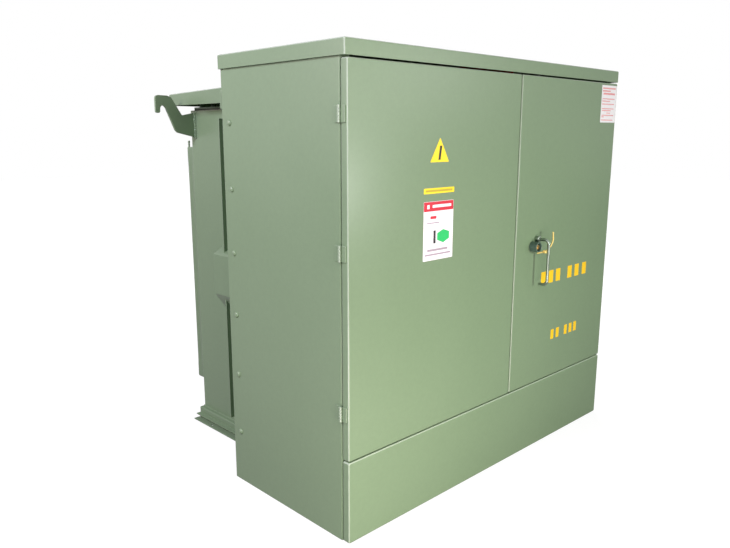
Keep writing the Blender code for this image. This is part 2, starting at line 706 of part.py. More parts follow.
def lv_bushing(name, centre):
    seat = FITTING_SEAT
    flange = seat - LV_FLANGE_THICKNESS
    stud = seat - LV_STUD_REACH
    profile = bushing_root()
    profile += [(seat, LV_FLANGE_RADIUS), (flange, LV_FLANGE_RADIUS), (flange, LV_STUD_RADIUS),
                (stud, LV_STUD_RADIUS)]
    bushing = piece(name, turned("y", centre, profile, BUSHING_SIDES), "copper", round_angle=35)
    x, z = centre
    tip = seat - SPADE_REACH
    half = SPADE_THICKNESS / 2
    weld(bushing, block((x - half, tip, z - SPADE_HEIGHT / 2), (x + half, stud + FUSE, z + SPADE_HEIGHT / 2)))
    middle = (tip + stud) / 2
    offset = SPADE_HOLE_SPACING / 2
    places = [(middle + i * offset, z + k * offset) for i in (-1, 1) for k in (-1, 1)]
    cut(bushing, *[bar("x", spot, SPADE_HOLE_RADIUS, x - half - FUSE, x + half + FUSE, 8) for spot in places])


def dial_thermometer():
    seat = FITTING_SEAT
    neck = seat - DIAL_DEPTH / 3
    profile = [(TANK_INSIDE + INSIDE_REACH, STEM_RADIUS), (seat, STEM_RADIUS), (seat, DIAL_RADIUS / 2),
               (neck, DIAL_RADIUS / 2), (neck, DIAL_RADIUS), (seat - DIAL_DEPTH, DIAL_RADIUS)]
    piece("dial_thermometer", turned("y", THERMOMETER_PLACE, profile, 24), "zinc_plate", round_angle=35)


def relief_valve():
    seat = FITTING_SEAT
    front = seat - RELIEF_DEPTH
    bore = RELIEF_STEM_RADIUS + RUNNING
    profile = [(TANK_INSIDE + INSIDE_REACH, STEM_RADIUS), (seat, STEM_RADIUS), (seat, RELIEF_RADIUS),
               (front, RELIEF_RADIUS), (front, bore), (seat - RUNNING, bore)]
    piece("relief_valve_body", turned("y", RELIEF_PLACE, profile), "brass", round_angle=35)
    pull = front - RUNNING
    stem = [(seat - 2 * RUNNING - RELIEF_STROKE, RELIEF_STEM_RADIUS), (pull, RELIEF_STEM_RADIUS),
            (pull, RELIEF_PULL_RADIUS), (pull - RELIEF_PULL_THICKNESS, RELIEF_PULL_RADIUS)]
    x, z = RELIEF_PLACE
    piece("relief_valve_stem", turned("y", RELIEF_PLACE, stem), "zinc_plate", (x, front, z), round_angle=35)


def drain_valve():
    seat = FITTING_SEAT
    front = seat - VALVE_REACH
    bore = RELIEF_STEM_RADIUS + RUNNING
    profile = [(TANK_INSIDE + INSIDE_REACH, STEM_RADIUS), (seat, STEM_RADIUS), (seat, VALVE_RADIUS),
               (front, VALVE_RADIUS), (front, bore), (seat - RUNNING, bore)]
    body = piece("drain_valve_body", turned("y", DRAIN_PLACE, profile), "brass", round_angle=35)
    x, z = DRAIN_PLACE
    middle = (seat + front) / 2
    weld(body, bar("z", (x, middle), VALVE_OUTLET_RADIUS, z - VALVE_OUTLET_DROP, z - bore - FUSE))
    hub = front - RUNNING
    wheel = [(seat - VALVE_REACH / 2, RELIEF_STEM_RADIUS), (hub, RELIEF_STEM_RADIUS), (hub, WHEEL_RADIUS),
             (hub - WHEEL_THICKNESS, WHEEL_RADIUS)]
    piece("drain_valve_wheel", turned("y", DRAIN_PLACE, wheel, 20), "bare_steel", (x, front, z),
          round_angle=35)


def lever(name, centre, length):
    """A hub with a shaft through the wall and a flat lever that points down."""
    x, z = centre
    seat = FITTING_SEAT
    face = seat - LEVER_HUB_DEPTH
    profile = [(TANK_INSIDE + INSIDE_REACH, STEM_RADIUS), (seat, STEM_RADIUS), (seat, LEVER_HUB_RADIUS),
               (face, LEVER_HUB_RADIUS)]
    item = piece(name, turned("y", centre, profile), "yellow_plastic", (x, seat, z), round_angle=35)
    half = LEVER_WIDTH / 2
    weld(item, block((x - half, face + FUSE, z - length), (x + half, seat - LEVER_HUB_DEPTH / 2, z)))


# Doors and hinges

def hinge(side, number, height, door):
    """One butt hinge: a frame leaf with its pin, and a door leaf that turns on it."""
    name = f"{'left' if side < 0 else 'right'}_hinge_{number}"
    bottom, top = height - HINGE_LENGTH / 2, height + HINGE_LENGTH / 2
    pitch = HINGE_LENGTH / HINGE_KNUCKLES
    axis = (side * HINGE_OUT, HINGE_BACK)
    plate = sorted((side * (HALF_WIDTH + SEAT), side * (HALF_WIDTH + SEAT + HINGE_LEAF)))
    bore = HINGE_PIN_RADIUS + SEAT
    leaves = (("frame_leaf", 0, HINGE_BACK, HINGE_BACK + HINGE_LEAF_WIDTH, base),
              ("door_leaf", 1, HINGE_BACK - HINGE_LEAF_WIDTH, HINGE_BACK, door))
    for leaf_name, first, front, back, parent in leaves:
        plate_block = block((plate[0], front, bottom), (plate[1], back, top))
        leaf = piece(f"{name}_{leaf_name}", plate_block, pivot=(*axis, height), parent=parent)
        clear = [bottom + pitch * i for i in range(1 - first, HINGE_KNUCKLES, 2)]
        knuckles = [bottom + pitch * i for i in range(first, HINGE_KNUCKLES, 2)]
        cut(leaf, *[bar("z", axis, HINGE_KNUCKLE_RADIUS + SEAT, z - SEAT, z + pitch + SEAT, HINGE_SIDES)
                    for z in clear])
        weld(leaf, *[bar("z", axis, HINGE_KNUCKLE_RADIUS, z + SEAT / 2, z + pitch - SEAT / 2, HINGE_SIDES)
                     for z in knuckles])
        if parent is door:
            cut(leaf, bar("z", axis, bore, bottom - FUSE, top + FUSE, HINGE_SIDES))
        else:
            weld(leaf, bar("z", axis, HINGE_PIN_RADIUS, bottom + pitch / 2, top - pitch / 2, HINGE_SIDES))


def door(name, side, near, far):
    """A tray of sheet that swings on its outer edge; near and far are its two upright edges."""
    low = (min(near, far), 0, DOOR_BOTTOM)
    high = (max(near, far), DOOR_DEPTH, DOOR_TOP)
    pivot = (side * HINGE_OUT, HINGE_BACK, DOOR_BOTTOM)
    panel = piece(name, cup(low, high, CABINET_SHEET, "+y", DOOR_LIP), pivot=pivot)
    for number, height in enumerate(HINGE_HEIGHTS, 1):
        hinge(side, number, height, panel)
    return panel


# Handle, bolt and latch

def rod_side(way):
    """Where a latch rod runs, left or right of the handle's shaft."""
    mean_reach = CRANK_RADIUS * (1 + math.cos(math.pi / 4)) / 2
    return HANDLE_SIDE - way * mean_reach


def rod_tip(way):
    return DOOR_TOP + ROD_TIP if way > 0 else DOOR_BOTTOM - ROD_TIP


def guide_heights(way):
    return HANDLE_HEIGHT + way * GUIDE_FROM_CAM, rod_tip(way) - way * GUIDE_FROM_TIP


def latch_guides(panel):
    """Blocks on the door's inner face, bored for the rods, and slots where the rods leave the door."""
    blocks = []
    slots = []
    for way in (1, -1):
        x = rod_side(way)
        outer = ROD_WIDTH / 2 + RUNNING + GUIDE_WALL
        for z in guide_heights(way):
            blocks.append(block((x - outer, CABINET_SHEET - FUSE / 2, z - GUIDE_HEIGHT / 2),
                                (x + outer, ROD_BACK + RUNNING + GUIDE_WALL / 2, z + GUIDE_HEIGHT / 2)))
        half = ROD_WIDTH / 2 + RUNNING
        ends = sorted((HANDLE_HEIGHT + way * GUIDE_FROM_CAM / 2, rod_tip(way) + way * ROD_TIP))
        slots.append(block((x - half, ROD_FRONT - RUNNING, ends[0]), (x + half, ROD_BACK + RUNNING, ends[1])))
    weld(panel, *blocks)
    cut(panel, *slots)
    shaft_hole = bar("y", (HANDLE_SIDE, HANDLE_HEIGHT), STEM_RADIUS + RUNNING, -FUSE, CABINET_SHEET + FUSE)
    bolt_hole = bar("y", (GUARD_SIDE, GUARD_HEIGHT), BOLT_RADIUS + RUNNING, -FUSE, CABINET_SHEET + FUSE)
    cut(panel, shaft_hole, bolt_hole)


def lock_guard(panel):
    centre = (GUARD_SIDE, GUARD_HEIGHT)
    hole = BOLT_RADIUS + RUNNING
    rings = [(-SEAT, GUARD_RADIUS), (-GUARD_REACH, GUARD_RADIUS), (-GUARD_REACH, GUARD_BORE),
             (-GUARD_FLOOR, GUARD_BORE), (-GUARD_FLOOR, hole), (-SEAT, hole)]
    shape = loft([circle("y", y, centre, radius, 20) for y, radius in rings], ring_closed=True)
    piece("bolt_guard", shape, pivot=(GUARD_SIDE, 0, GUARD_HEIGHT), parent=panel, round_angle=35)
    head = -GUARD_FLOOR - RUNNING
    shank = bar("y", centre, BOLT_RADIUS, head - FUSE, CABINET_SHEET + BOLT_TAIL, 12)
    bolt = piece("five_sided_bolt", shank, "brass", (GUARD_SIDE, 0, GUARD_HEIGHT), panel)
    weld(bolt, bar("y", centre, BOLT_HEAD_RADIUS, head - BOLT_HEAD_LENGTH, head, 5, math.pi / 2))


def door_handle(panel):
    """A bent bar: out of its hub, down, and back to the door, on a shaft through the door."""
    pivot = (HANDLE_SIDE, 0, HANDLE_HEIGHT)
    out = -(HANDLE_REACH - HANDLE_RADIUS)
    foot = HANDLE_HEIGHT - HANDLE_LEG
    path = [Vector((HANDLE_SIDE, -HANDLE_HUB_LENGTH / 2, HANDLE_HEIGHT))]
    for corner, start in ((HANDLE_HEIGHT - HANDLE_BEND, math.pi / 2), (foot + HANDLE_BEND, math.pi)):
        for i in range(HANDLE_BEND_STEPS + 1):
            a = start + math.pi / 2 * i / HANDLE_BEND_STEPS
            back = out + HANDLE_BEND * (1 + math.cos(a))
            path.append(Vector((HANDLE_SIDE, back, corner + HANDLE_BEND * math.sin(a))))
    path.append(Vector((HANDLE_SIDE, -HANDLE_FOOT_GAP, foot)))
    handle = piece("door_handle", bent_rod(path, HANDLE_RADIUS), pivot=pivot, parent=panel, round_angle=50)
    profile = [(-HANDLE_HUB_LENGTH, HANDLE_HUB_RADIUS), (-SEAT, HANDLE_HUB_RADIUS), (-SEAT, STEM_RADIUS),
               (CAM_BACK, STEM_RADIUS)]
    centre = (HANDLE_SIDE, HANDLE_HEIGHT)
    weld(handle, turned("y", centre, profile))
    disc = bored_bar("y", centre, CAM_RADIUS, STEM_RADIUS + SEAT, CABINET_SHEET + CAM_GAP, CAM_BACK)
    cam = piece("latch_cam", disc, "zinc_plate", pivot, handle)
    pins = []
    for way in (1, -1):
        offset = CRANK_RADIUS * math.cos(math.pi / 4)
        spot = (HANDLE_SIDE - way * offset, HANDLE_HEIGHT + way * offset)
        pins.append(bar("y", spot, CRANK_PIN_RADIUS, CAM_BACK - FUSE, ROD_BACK + FUSE, 12))
    weld(cam, *pins)


def latch_rod(name, way, panel):
    """A flat rod whose slotted yoke rides on one of the cam's pins."""
    x = rod_side(way)
    pin_height = HANDLE_HEIGHT + way * CRANK_RADIUS * math.cos(math.pi / 4)
    travel = CRANK_RADIUS * (1 - math.cos(math.pi / 4))
    slot_half = travel / 2 + CRANK_PIN_RADIUS + CRANK_PIN_PLAY
    slot_rise = CRANK_PIN_RADIUS + CRANK_PIN_PLAY
    yoke_half = slot_half + YOKE_MARGIN
    yoke_rise = slot_rise + YOKE_MARGIN
    ends = sorted((pin_height, rod_tip(way)))
    strip = block((x - ROD_WIDTH / 2, ROD_FRONT, ends[0]), (x + ROD_WIDTH / 2, ROD_BACK, ends[1]))
    rod = piece(name, strip, "zinc_plate", (x, ROD_FRONT, pin_height), panel)
    weld(rod, block((x - yoke_half, ROD_FRONT, pin_height - yoke_rise),
                    (x + yoke_half, ROD_BACK, pin_height + yoke_rise)))
    cut(rod, block((x - slot_half, ROD_FRONT - FUSE, pin_height - slot_rise),
                   (x + slot_half, ROD_BACK + FUSE, pin_height + slot_rise)))


side_panel("side_panel_left", -1)
side_panel("side_panel_right", 1)
cabinet_roof()
front_sill()
bulkhead()
compartment_barrier()
tank()
lid_and_gasket()
tank_hood()
for side_name, side_sign in (("left", -1), ("right", 1)):
    base_rail(f"base_rail_{side_name}", side_sign)
    side_brace(f"side_brace_{side_name}", side_sign)
    lifting_hook(f"lifting_hook_front_{side_name}", side_sign, TANK_FRONT + HOOK_FRONT_INSET)
    lifting_hook(f"lifting_hook_rear_{side_name}", side_sign, TANK_REAR - HOOK_REAR_INSET)
    radiator(f"radiator_{side_name}", side_sign)
core_and_coils()
for bushing_name, bushing_place in HV_PLACES.items():
    hv_bushing(bushing_name, bushing_place)
for bushing_name, bushing_place in LV_PLACES.items():
    lv_bushing(bushing_name, bushing_place)
dial_thermometer()
relief_valve()
drain_valve()
lever("switch_handle", SWITCH_PLACE, SWITCH_LEVER)
lever("tap_changer_handle", TAP_PLACE, TAP_LEVER)
door("left_door", -1, -HALF_WIDTH, DOOR_SPLIT - DOOR_SEAM / 2)
right_door = door("right_door", 1, HALF_WIDTH, DOOR_SPLIT + DOOR_SEAM / 2)
latch_guides(right_door)
lock_guard(right_door)
door_handle(right_door)
latch_rod("latch_rod_upper", 1, right_door)
latch_rod("latch_rod_lower", -1, right_door)
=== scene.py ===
# %% [markdown]
# # Dressing a pad-mounted transformer
# A pad-mounted transformer is an oil tank with radiators behind it and a locked cable cabinet in front. The
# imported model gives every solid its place, so this lesson only replaces plain solids by sheet metal with real
# bends, adds the small fasteners, and gives each surface a finish. Everything is in metres, with the doors
# facing -Y.

# %% Load the frame and keep its size
import json
import math

import bmesh
import bpy
from mathutils import Euler, Matrix, Vector


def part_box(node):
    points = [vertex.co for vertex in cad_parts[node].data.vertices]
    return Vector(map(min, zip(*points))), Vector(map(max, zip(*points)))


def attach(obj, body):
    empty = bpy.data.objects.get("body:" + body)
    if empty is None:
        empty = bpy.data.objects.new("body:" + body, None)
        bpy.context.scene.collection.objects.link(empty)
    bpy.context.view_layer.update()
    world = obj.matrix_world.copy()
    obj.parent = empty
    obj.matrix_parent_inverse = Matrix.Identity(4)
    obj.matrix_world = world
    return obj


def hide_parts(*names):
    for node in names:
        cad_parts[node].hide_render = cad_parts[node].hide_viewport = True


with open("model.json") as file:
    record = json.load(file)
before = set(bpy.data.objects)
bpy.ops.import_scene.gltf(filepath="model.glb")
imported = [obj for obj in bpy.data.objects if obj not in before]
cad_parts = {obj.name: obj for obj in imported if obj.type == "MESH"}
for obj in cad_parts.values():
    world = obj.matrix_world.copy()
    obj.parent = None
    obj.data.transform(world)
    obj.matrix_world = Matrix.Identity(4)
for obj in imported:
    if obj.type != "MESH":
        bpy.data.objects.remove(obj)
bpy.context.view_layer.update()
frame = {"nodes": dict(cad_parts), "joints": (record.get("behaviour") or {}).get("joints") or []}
nodes = frame["nodes"]
MM = 0.001

# %% [markdown]
# ## Colours and shader nodes
# Paint charts give colours as sRGB codes, while shaders work in linear light, so one function turns a code
# into a colour. A second small function adds a node, sets it and links it, which keeps each finish readable
# as a recipe.


# %% Helpers for every finish
def colour(code):
    """An sRGB hex code as the linear colour that a shader needs."""
    channels = [int(code[i:i + 2], 16) / 255 for i in (1, 3, 5)]
    return [c / 12.92 if c <= 0.04045 else ((c + 0.055) / 1.055) ** 2.4 for c in channels] + [1.0]


def add_node(tree, kind, inputs=None, **settings):
    """Add one shader node with its settings; an input is a value, or another node's socket to link."""
    made = tree.nodes.new("ShaderNode" + kind)
    for key, value in settings.items():
        setattr(made, key, value)
    for socket, value in (inputs or {}).items():
        if isinstance(value, bpy.types.NodeSocket):
            tree.links.new(value, made.inputs[socket])
        else:
            made.inputs[socket].default_value = value
    return made


def new_finish(name, slot, **values):
    """A named finish, returned with its node tree, shader and coordinates; the slot argument is not used."""
    finish = bpy.data.materials.new(name)
    finish.use_nodes = True
    tree = finish.node_tree
    shader = tree.nodes["Principled BSDF"]
    for socket, value in values.items():
        shader.inputs[socket.replace("_", " ")].default_value = value
    place = add_node(tree, "TexCoord").outputs["Object"]
    return finish, tree, shader, place


def feed(tree, shader, **sources):
    """Link what nodes give to the shader's sockets."""
    for socket, source in sources.items():
        tree.links.new(source, shader.inputs[socket.replace("_", " ")])


print("a mid grey in linear light", colour("#808080"))


# %% [markdown]
# ## Green enamel
# The cabinet and tank wear a baked polyester enamel in a grey green. It was sprayed, so the film has a faint
# orange peel of a few millimetres, drawn at 9 mm here because finer would not show. A slow change of tone and
# of gloss keeps large doors from looking like card. Folds in the sheet get a painted highlight: the places
# whose normal lies along no axis are paler where they face up or to the left, towards the lamps, and not on
# the others. Faces that look up take rain and sun, so their film is duller.


# %% Green enamel
TONE_PATCH = 550 * MM
SPECK = 14 * MM
ORANGE_PEEL = 9 * MM


def green_enamel(name, highlight_strength):
    """Sprayed enamel; the second argument is how much paler a fold gets as a painted highlight, from 0 to 1."""
    finish, tree, shader, place = new_finish(name, "green_enamel", IOR=1.5, Specular_IOR_Level=0.4)
    tone = add_node(tree, "TexNoise", {"Scale": 1 / TONE_PATCH, "Detail": 2.0, "Vector": place})
    tone = tone.outputs["Fac"]
    base = add_node(tree, "Mix", {"A": colour("#6E8763"), "B": colour("#748C69"), "Factor": tone},
                    data_type="RGBA")
    facing = add_node(tree, "TexCoord").outputs["Normal"]
    way = add_node(tree, "SeparateXYZ", {0: facing})
    # Painted highlight: a fold facing up or to the left, towards the lamps, is mixed towards a pale green.
    if highlight_strength:
        lean = add_node(tree, "Math", {0: way.outputs["Z"], 1: way.outputs["X"]}, operation="SUBTRACT")
        lit = add_node(tree, "MapRange", {"From Min": -0.1, "From Max": 0.1, "To Min": 0.0, "To Max": highlight_strength,
                                          "Value": lean.outputs[0]})
        size = add_node(tree, "VectorMath", {0: facing}, operation="ABSOLUTE")
        part = add_node(tree, "SeparateXYZ", {0: size.outputs[0]})
        most = add_node(tree, "Math", {0: part.outputs["X"], 1: part.outputs["Y"]}, operation="MAXIMUM")
        most = add_node(tree, "Math", {0: most.outputs[0], 1: part.outputs["Z"]}, operation="MAXIMUM")
        fold = add_node(tree, "MapRange", {"From Min": 0.99, "From Max": 0.85, "To Min": 0.0,
                                           "To Max": lit.outputs["Result"], "Value": most.outputs[0]})
        # The pale green of the painted fold highlight.
        base = add_node(tree, "Mix", {"A": base.outputs["Result"], "B": colour("#BCCDB4"),
                                      "Factor": fold.outputs["Result"]}, data_type="RGBA")
    speck = add_node(tree, "TexNoise", {"Scale": 1 / SPECK, "Detail": 4.0, "Roughness": 0.7, "Vector": place})
    light = add_node(tree, "MapRange", {"From Min": 0.3, "From Max": 0.7, "To Min": 0.97, "To Max": 1.03,
                                        "Value": speck.outputs["Fac"]})
    shade = add_node(tree, "HueSaturation", {"Color": base.outputs["Result"],
                                             "Value": light.outputs["Result"]})
    gloss = add_node(tree, "MapRange", {"From Min": 0.3, "From Max": 0.7, "To Min": 0.3, "To Max": 0.34,
                                        "Value": tone})
    weather = add_node(tree, "MapRange", {"From Min": 0.85, "From Max": 0.97, "To Min": 0.0, "To Max": 0.75,
                                          "Value": way.outputs["Z"]})
    dull = add_node(tree, "Math", {0: gloss.outputs["Result"], 1: weather.outputs["Result"]},
                    operation="MAXIMUM")
    peel = add_node(tree, "TexNoise", {"Scale": 1 / ORANGE_PEEL, "Detail": 1.0, "Vector": place})
    skin = add_node(tree, "Bump", {"Strength": 0.12, "Distance": 0.15 * MM, "Height": peel.outputs["Fac"]})
    feed(tree, shader, Base_Color=shade.outputs["Color"], Roughness=dull.outputs[0],
         Normal=skin.outputs["Normal"])
    return finish


ENAMEL = green_enamel("polyester_enamel_green", 0.0)
# These two paint a pale highlight on folds; the hinges' copy is stronger.
HIGHLIT_FOLD_ENAMEL = green_enamel("polyester_enamel_green_fold_highlights", 0.5)
HIGHLIT_HINGE_ENAMEL = green_enamel("polyester_enamel_green_hinge_highlights", 0.6)

# %% [markdown]
# ## Metals
# Plated and plain metals differ by how the surface was made. Zinc plate is cloudy, rolled steel and brass
# carry fine drawn lines along one direction, and copper darkens in patches. Each is metallic with a typical
# roughness, and a noise pattern, stretched where the metal was drawn, moves tone and roughness a little.


# %% Metals
def grainy(tree, shader, place, tones, grain_mm, stretch, bump, **noise):
    """Mix a light and a dark tone by noise of the real grain size, add its bump, and return the noise."""
    light, dark = tones
    strength, depth_mm = bump
    turn = add_node(tree, "Mapping", {"Scale": stretch, "Vector": place})
    noise.update(Scale=1 / (grain_mm * MM), Vector=turn.outputs["Vector"])
    grain = add_node(tree, "TexNoise", noise).outputs["Fac"]
    base = add_node(tree, "Mix", {"A": colour(dark), "B": colour(light), "Factor": grain}, data_type="RGBA")
    skin = add_node(tree, "Bump", {"Strength": strength, "Distance": depth_mm * MM, "Height": grain})
    feed(tree, shader, Base_Color=base.outputs["Result"], Normal=skin.outputs["Normal"])
    return grain


def metal(name, slot, light, dark, rough, grain_mm, stretch=(1, 1, 1)):
    finish, tree, shader, place = new_finish(name, slot, Metallic=1.0)
    grain = grainy(tree, shader, place, (light, dark), grain_mm, stretch, (0.15, 0.2),
                   Detail=5.0, Roughness=0.6)
    spread = add_node(tree, "MapRange", {"To Min": rough - 0.08, "To Max": rough + 0.1, "Value": grain})
    feed(tree, shader, Roughness=spread.outputs["Result"])
    return finish


ZINC = metal("zinc_plated_steel", "zinc_plate", "#A3A5A0", "#888A86", 0.48, 9)
STEEL = metal("rolled_mild_steel", "bare_steel", "#8F8E8A", "#75736F", 0.42, 12, (1, 1, 6))
HANDLE_STEEL = metal("zinc_plated_bar", "green_enamel", "#98A596", "#869484", 0.3, 18)
BRASS = metal("turned_brass", "brass", "#D8B56A", "#B48C44", 0.3, 5, (1, 8, 1))
COPPER = metal("tarnished_copper", "copper", "#C98A63", "#9A5F41", 0.36, 14)
LAMINATION = metal("silicon_steel_laminations", "core_steel", "#5A5F66", "#3D4147", 0.45, 4, (1, 12, 1))

# %% [markdown]
# ## Plastics, rubber, board and paper
# The bushings are cast epoxy, the levers are moulded plastic, the barrier is a red insulating board, the
# gasket is nitrile rubber and the coils are wrapped in kraft paper. One recipe serves them: two tones mixed
# by a pattern of the real grain size, with the roughness of the material and a shallow bump.


# %% Plastics, rubber, board and paper
def moulded(name, slot, light, dark, rough, grain_mm, depth_mm, stretch=(1, 1, 1)):
    finish, tree, shader, place = new_finish(name, slot, Roughness=rough, IOR=1.5)
    grainy(tree, shader, place, (light, dark), grain_mm, stretch, (0.3, depth_mm), Detail=3.0)
    return finish


# A darker copy of the green enamel: painted shade for the guard cup.
CUP_SHADE_ENAMEL = moulded("green_enamel_painted_shade", "green_enamel", "#4E6758", "#465E50", 0.3, 12, 0.1)
EPOXY = moulded("cast_epoxy_brown", "epoxy", "#6B3A2C", "#552B20", 0.3, 20, 0.1)
GREY_EPOXY = moulded("cast_epoxy_grey", "epoxy", "#4B4E50", "#3C3F41", 0.35, 20, 0.1)
LEVER_YELLOW = moulded("moulded_nylon_yellow", "yellow_plastic", "#E9B81E", "#DCA812", 0.4, 6, 0.15)
RUBBER = moulded("nitrile_rubber_sheet", "nitrile_rubber", "#54544F", "#474743", 0.75, 4, 0.2)
BOARD = moulded("insulating_board_red", "insulating_board", "#A8432F", "#933623", 0.6, 8, 0.2, (1, 1, 5))
PAPER = moulded("kraft_paper_wrap", "kraft_paper", "#B9935F", "#9C7848", 0.85, 25, 0.6, (0.3, 0.3, 3))
SEAL_YELLOW = moulded("moulded_polypropylene_yellow", "yellow_plastic", "#F5DF82", "#EBD06A", 0.45, 5, 0.1)

# %% [markdown]
# ## Stickers and stencil paint
# Stickers are printed vinyl film: smooth, with a soft gloss and a slight mottle. The stencil marks are
# sprayed paint, which is rougher. Both are kept to plain blocks and bars.

# %% Stickers and stencil paint
WHITE_VINYL = moulded("vinyl_film_white", "green_enamel", "#F2F2EF", "#EAEAE6", 0.35, 18, 0.05)
YELLOW_VINYL = moulded("vinyl_film_yellow", "yellow_plastic", "#F4DC1C", "#EDD315", 0.35, 18, 0.05)
RED_VINYL = moulded("vinyl_film_red", "insulating_board", "#C8102B", "#BD0C26", 0.4, 18, 0.05)
PALE_RED_VINYL = moulded("vinyl_film_pale_red", "insulating_board", "#E39A97", "#DC8F8C", 0.4, 18, 0.05)
STENCIL = moulded("stencil_paint_yellow", "yellow_plastic", "#F2C806", "#EABF04", 0.55, 6, 0.08)
GREEN_VINYL = moulded("vinyl_film_green", "green_enamel", "#16BE5F", "#11B257", 0.4, 18, 0.05)
GREY_INK = moulded("printed_ink_grey", "nitrile_rubber", "#A59A9E", "#9A8F94", 0.5, 6, 0.05)
OCHRE_INK = moulded("printed_ink_ochre", "yellow_plastic", "#B9A51E", "#AE9A18", 0.5, 6, 0.05)
BLACK_INK = moulded("printed_ink_black", "nitrile_rubber", "#120E0D", "#0C0A09", 0.6, 6, 0.05)

# %% [markdown]
# ## Shapes
# Nearly every piece here is one of four kinds: a loft through rings, a pan pressed from sheet, a prism cut
# from plate, or something turned on a lathe. Each helper returns a closed mesh that is still editable.


# %% Points, lofts and joins
def spot(axis, at, u, v):
    """A point with its place on one axis first and the other two in x, y, z order."""
    point = [u, v]
    point.insert("xyz".index(axis), at)
    return Vector(point)


def loft(rings, closed=False):
    """Skin a row of equal rings, capped at both ends or joined into a loop."""
    shape = bmesh.new()
    rows = [[shape.verts.new(point) for point in ring] for ring in rings]
    pairs = list(zip(rows, rows[1:]))
    if closed:
        pairs.append((rows[-1], rows[0]))
    else:
        shape.faces.new(rows[0])
        shape.faces.new(rows[-1])
    for near, far in pairs:
        for i in range(len(near)):
            j = (i + 1) % len(near)
            shape.faces.new((near[i], near[j], far[j], far[i]))
    bmesh.ops.recalc_face_normals(shape, faces=shape.faces)
    return shape


def join(*shapes):
    """Several shapes as one mesh."""
    whole = bmesh.new()
    for shape in shapes:
        part = bpy.data.meshes.new("part")
        shape.to_mesh(part)
        whole.from_mesh(part)
        shape.free()
        bpy.data.meshes.remove(part)
    return whole


print("a point at 1 on the y axis", spot("y", 1, 2, 3))


# %% Rounded outlines
def arc(centre, radius, start, end, steps=4):
    """Points on an arc, from one angle to another in degrees."""
    angles = [math.radians(start + (end - start) * i / steps) for i in range(steps + 1)]
    return [(centre[0] + radius * math.cos(a), centre[1] + radius * math.sin(a)) for a in angles]


def rounded(axis, at, low, high, corner, steps=5):
    """A rectangle with round corners, square to an axis."""
    places = ((high[0] - corner, high[1] - corner), (low[0] + corner, high[1] - corner),
              (low[0] + corner, low[1] + corner), (high[0] - corner, low[1] + corner))
    points = []
    for quarter, centre in enumerate(places):
        points += arc(centre, corner, 90 * quarter, 90 * quarter + 90, steps)
    return [spot(axis, at, u, v) for u, v in points]


def pan(axis, low, high, corner, profile):
    """Sheet pressed over a rectangle; the profile is a list of (inset from the edge, place on the axis)."""
    rings = []
    for inset, at in profile:
        inner_low = [c + inset for c in low]
        inner_high = [c - inset for c in high]
        rings.append(rounded(axis, at, inner_low, inner_high, max(corner - inset, 0.3 * MM)))
    return loft(rings)


print("points on a rounded square", len(rounded("z", 0, (0, 0), (1, 1), 0.1)))


# %% Folded sheet and cut plate
def fillet(path, radius, closed=True, steps=4):
    """A path in two dimensions with its corners rounded."""
    points = [Vector(p) for p in path]
    count = len(points)
    smooth = []
    for i, corner in enumerate(points):
        if not closed and i in (0, count - 1):
            smooth.append(corner)
            continue
        back = points[i - 1] - corner
        ahead = points[(i + 1) % count] - corner
        half = back.angle(ahead) / 2
        reach = min(radius / math.tan(half), 0.45 * back.length, 0.45 * ahead.length)
        centre = corner + (back.normalized() + ahead.normalized()).normalized() * reach / math.cos(half)
        start = corner + back.normalized() * reach - centre
        end = corner + ahead.normalized() * reach - centre
        swing, bow = start.angle_signed(end), start.length
        first = math.atan2(start.y, start.x)
        for k in range(steps + 1):
            a = first - swing * k / steps
            smooth.append(centre + bow * Vector((math.cos(a), math.sin(a))))
    return smooth


def folded(path, sheet, radius):
    """The outline of sheet folded along a path of its middle line."""
    line = fillet(path, radius, closed=False)
    left, right = [], []
    for i, point in enumerate(line):
        ahead = (line[min(i + 1, len(line) - 1)] - line[max(i - 1, 0)]).normalized()
        across = Vector((-ahead.y, ahead.x)) * sheet / 2
        left.append(point + across)
        right.append(point - across)
    return left + right[::-1]


def prism(outline, axis, start, end):
    return loft([[spot(axis, at, u, v) for u, v in outline] for at in (start, end)])


def soften(shape, radius, sharp=40, segments=2):
    """Round every edge that is sharper than an angle in degrees."""
    edges = [e for e in shape.edges if len(e.link_faces) == 2 and e.calc_face_angle() > math.radians(sharp)]
    bmesh.ops.bevel(shape, geom=edges, offset=radius, segments=segments, profile=0.5, affect="EDGES",
                    clamp_overlap=True)
    return shape


def block(low, high, round_over=0.0):
    outline = ((low[0], low[1]), (high[0], low[1]), (high[0], high[1]), (low[0], high[1]))
    shape = prism(outline, "z", low[2], high[2])
    return soften(shape, round_over) if round_over else shape


print("points round a folded angle", len(folded([(0, 0), (1, 0), (1, 1)], 0.1, 0.2)))

# %% [markdown]
# ## Turned and drawn shapes
# Screws, knuckles and bushings are turned, and rods and weld beads are drawn along a path. A hand weld has
# ripples about 4 mm apart. They are drawn at 7 to 9 mm here, because finer ones would not show.


# %% Turned and drawn shapes
def turned(axis, centre, profile, sides=40, turn=0.0, bored=False):
    """A lathe shape; the profile is a list of (place on the axis, radius)."""
    angles = [turn + 2 * math.pi * i / sides for i in range(sides)]
    rings = []
    for at, radius in profile:
        round_points = [(centre[0] + radius * math.cos(a), centre[1] + radius * math.sin(a)) for a in angles]
        rings.append([spot(axis, at, u, v) for u, v in round_points])
    return loft(rings, closed=bored)


def sleeve(axis, centre, profile, sides):
    """A lathe shape with a bore: its profile closes on itself."""
    return turned(axis, centre, profile, sides, bored=True)


def lathe_mm(start, steps, way=1):
    """A lathe profile from (distance past the start, radius) in millimetres."""
    return [(start + way * past * MM, radius * MM) for past, radius in steps]


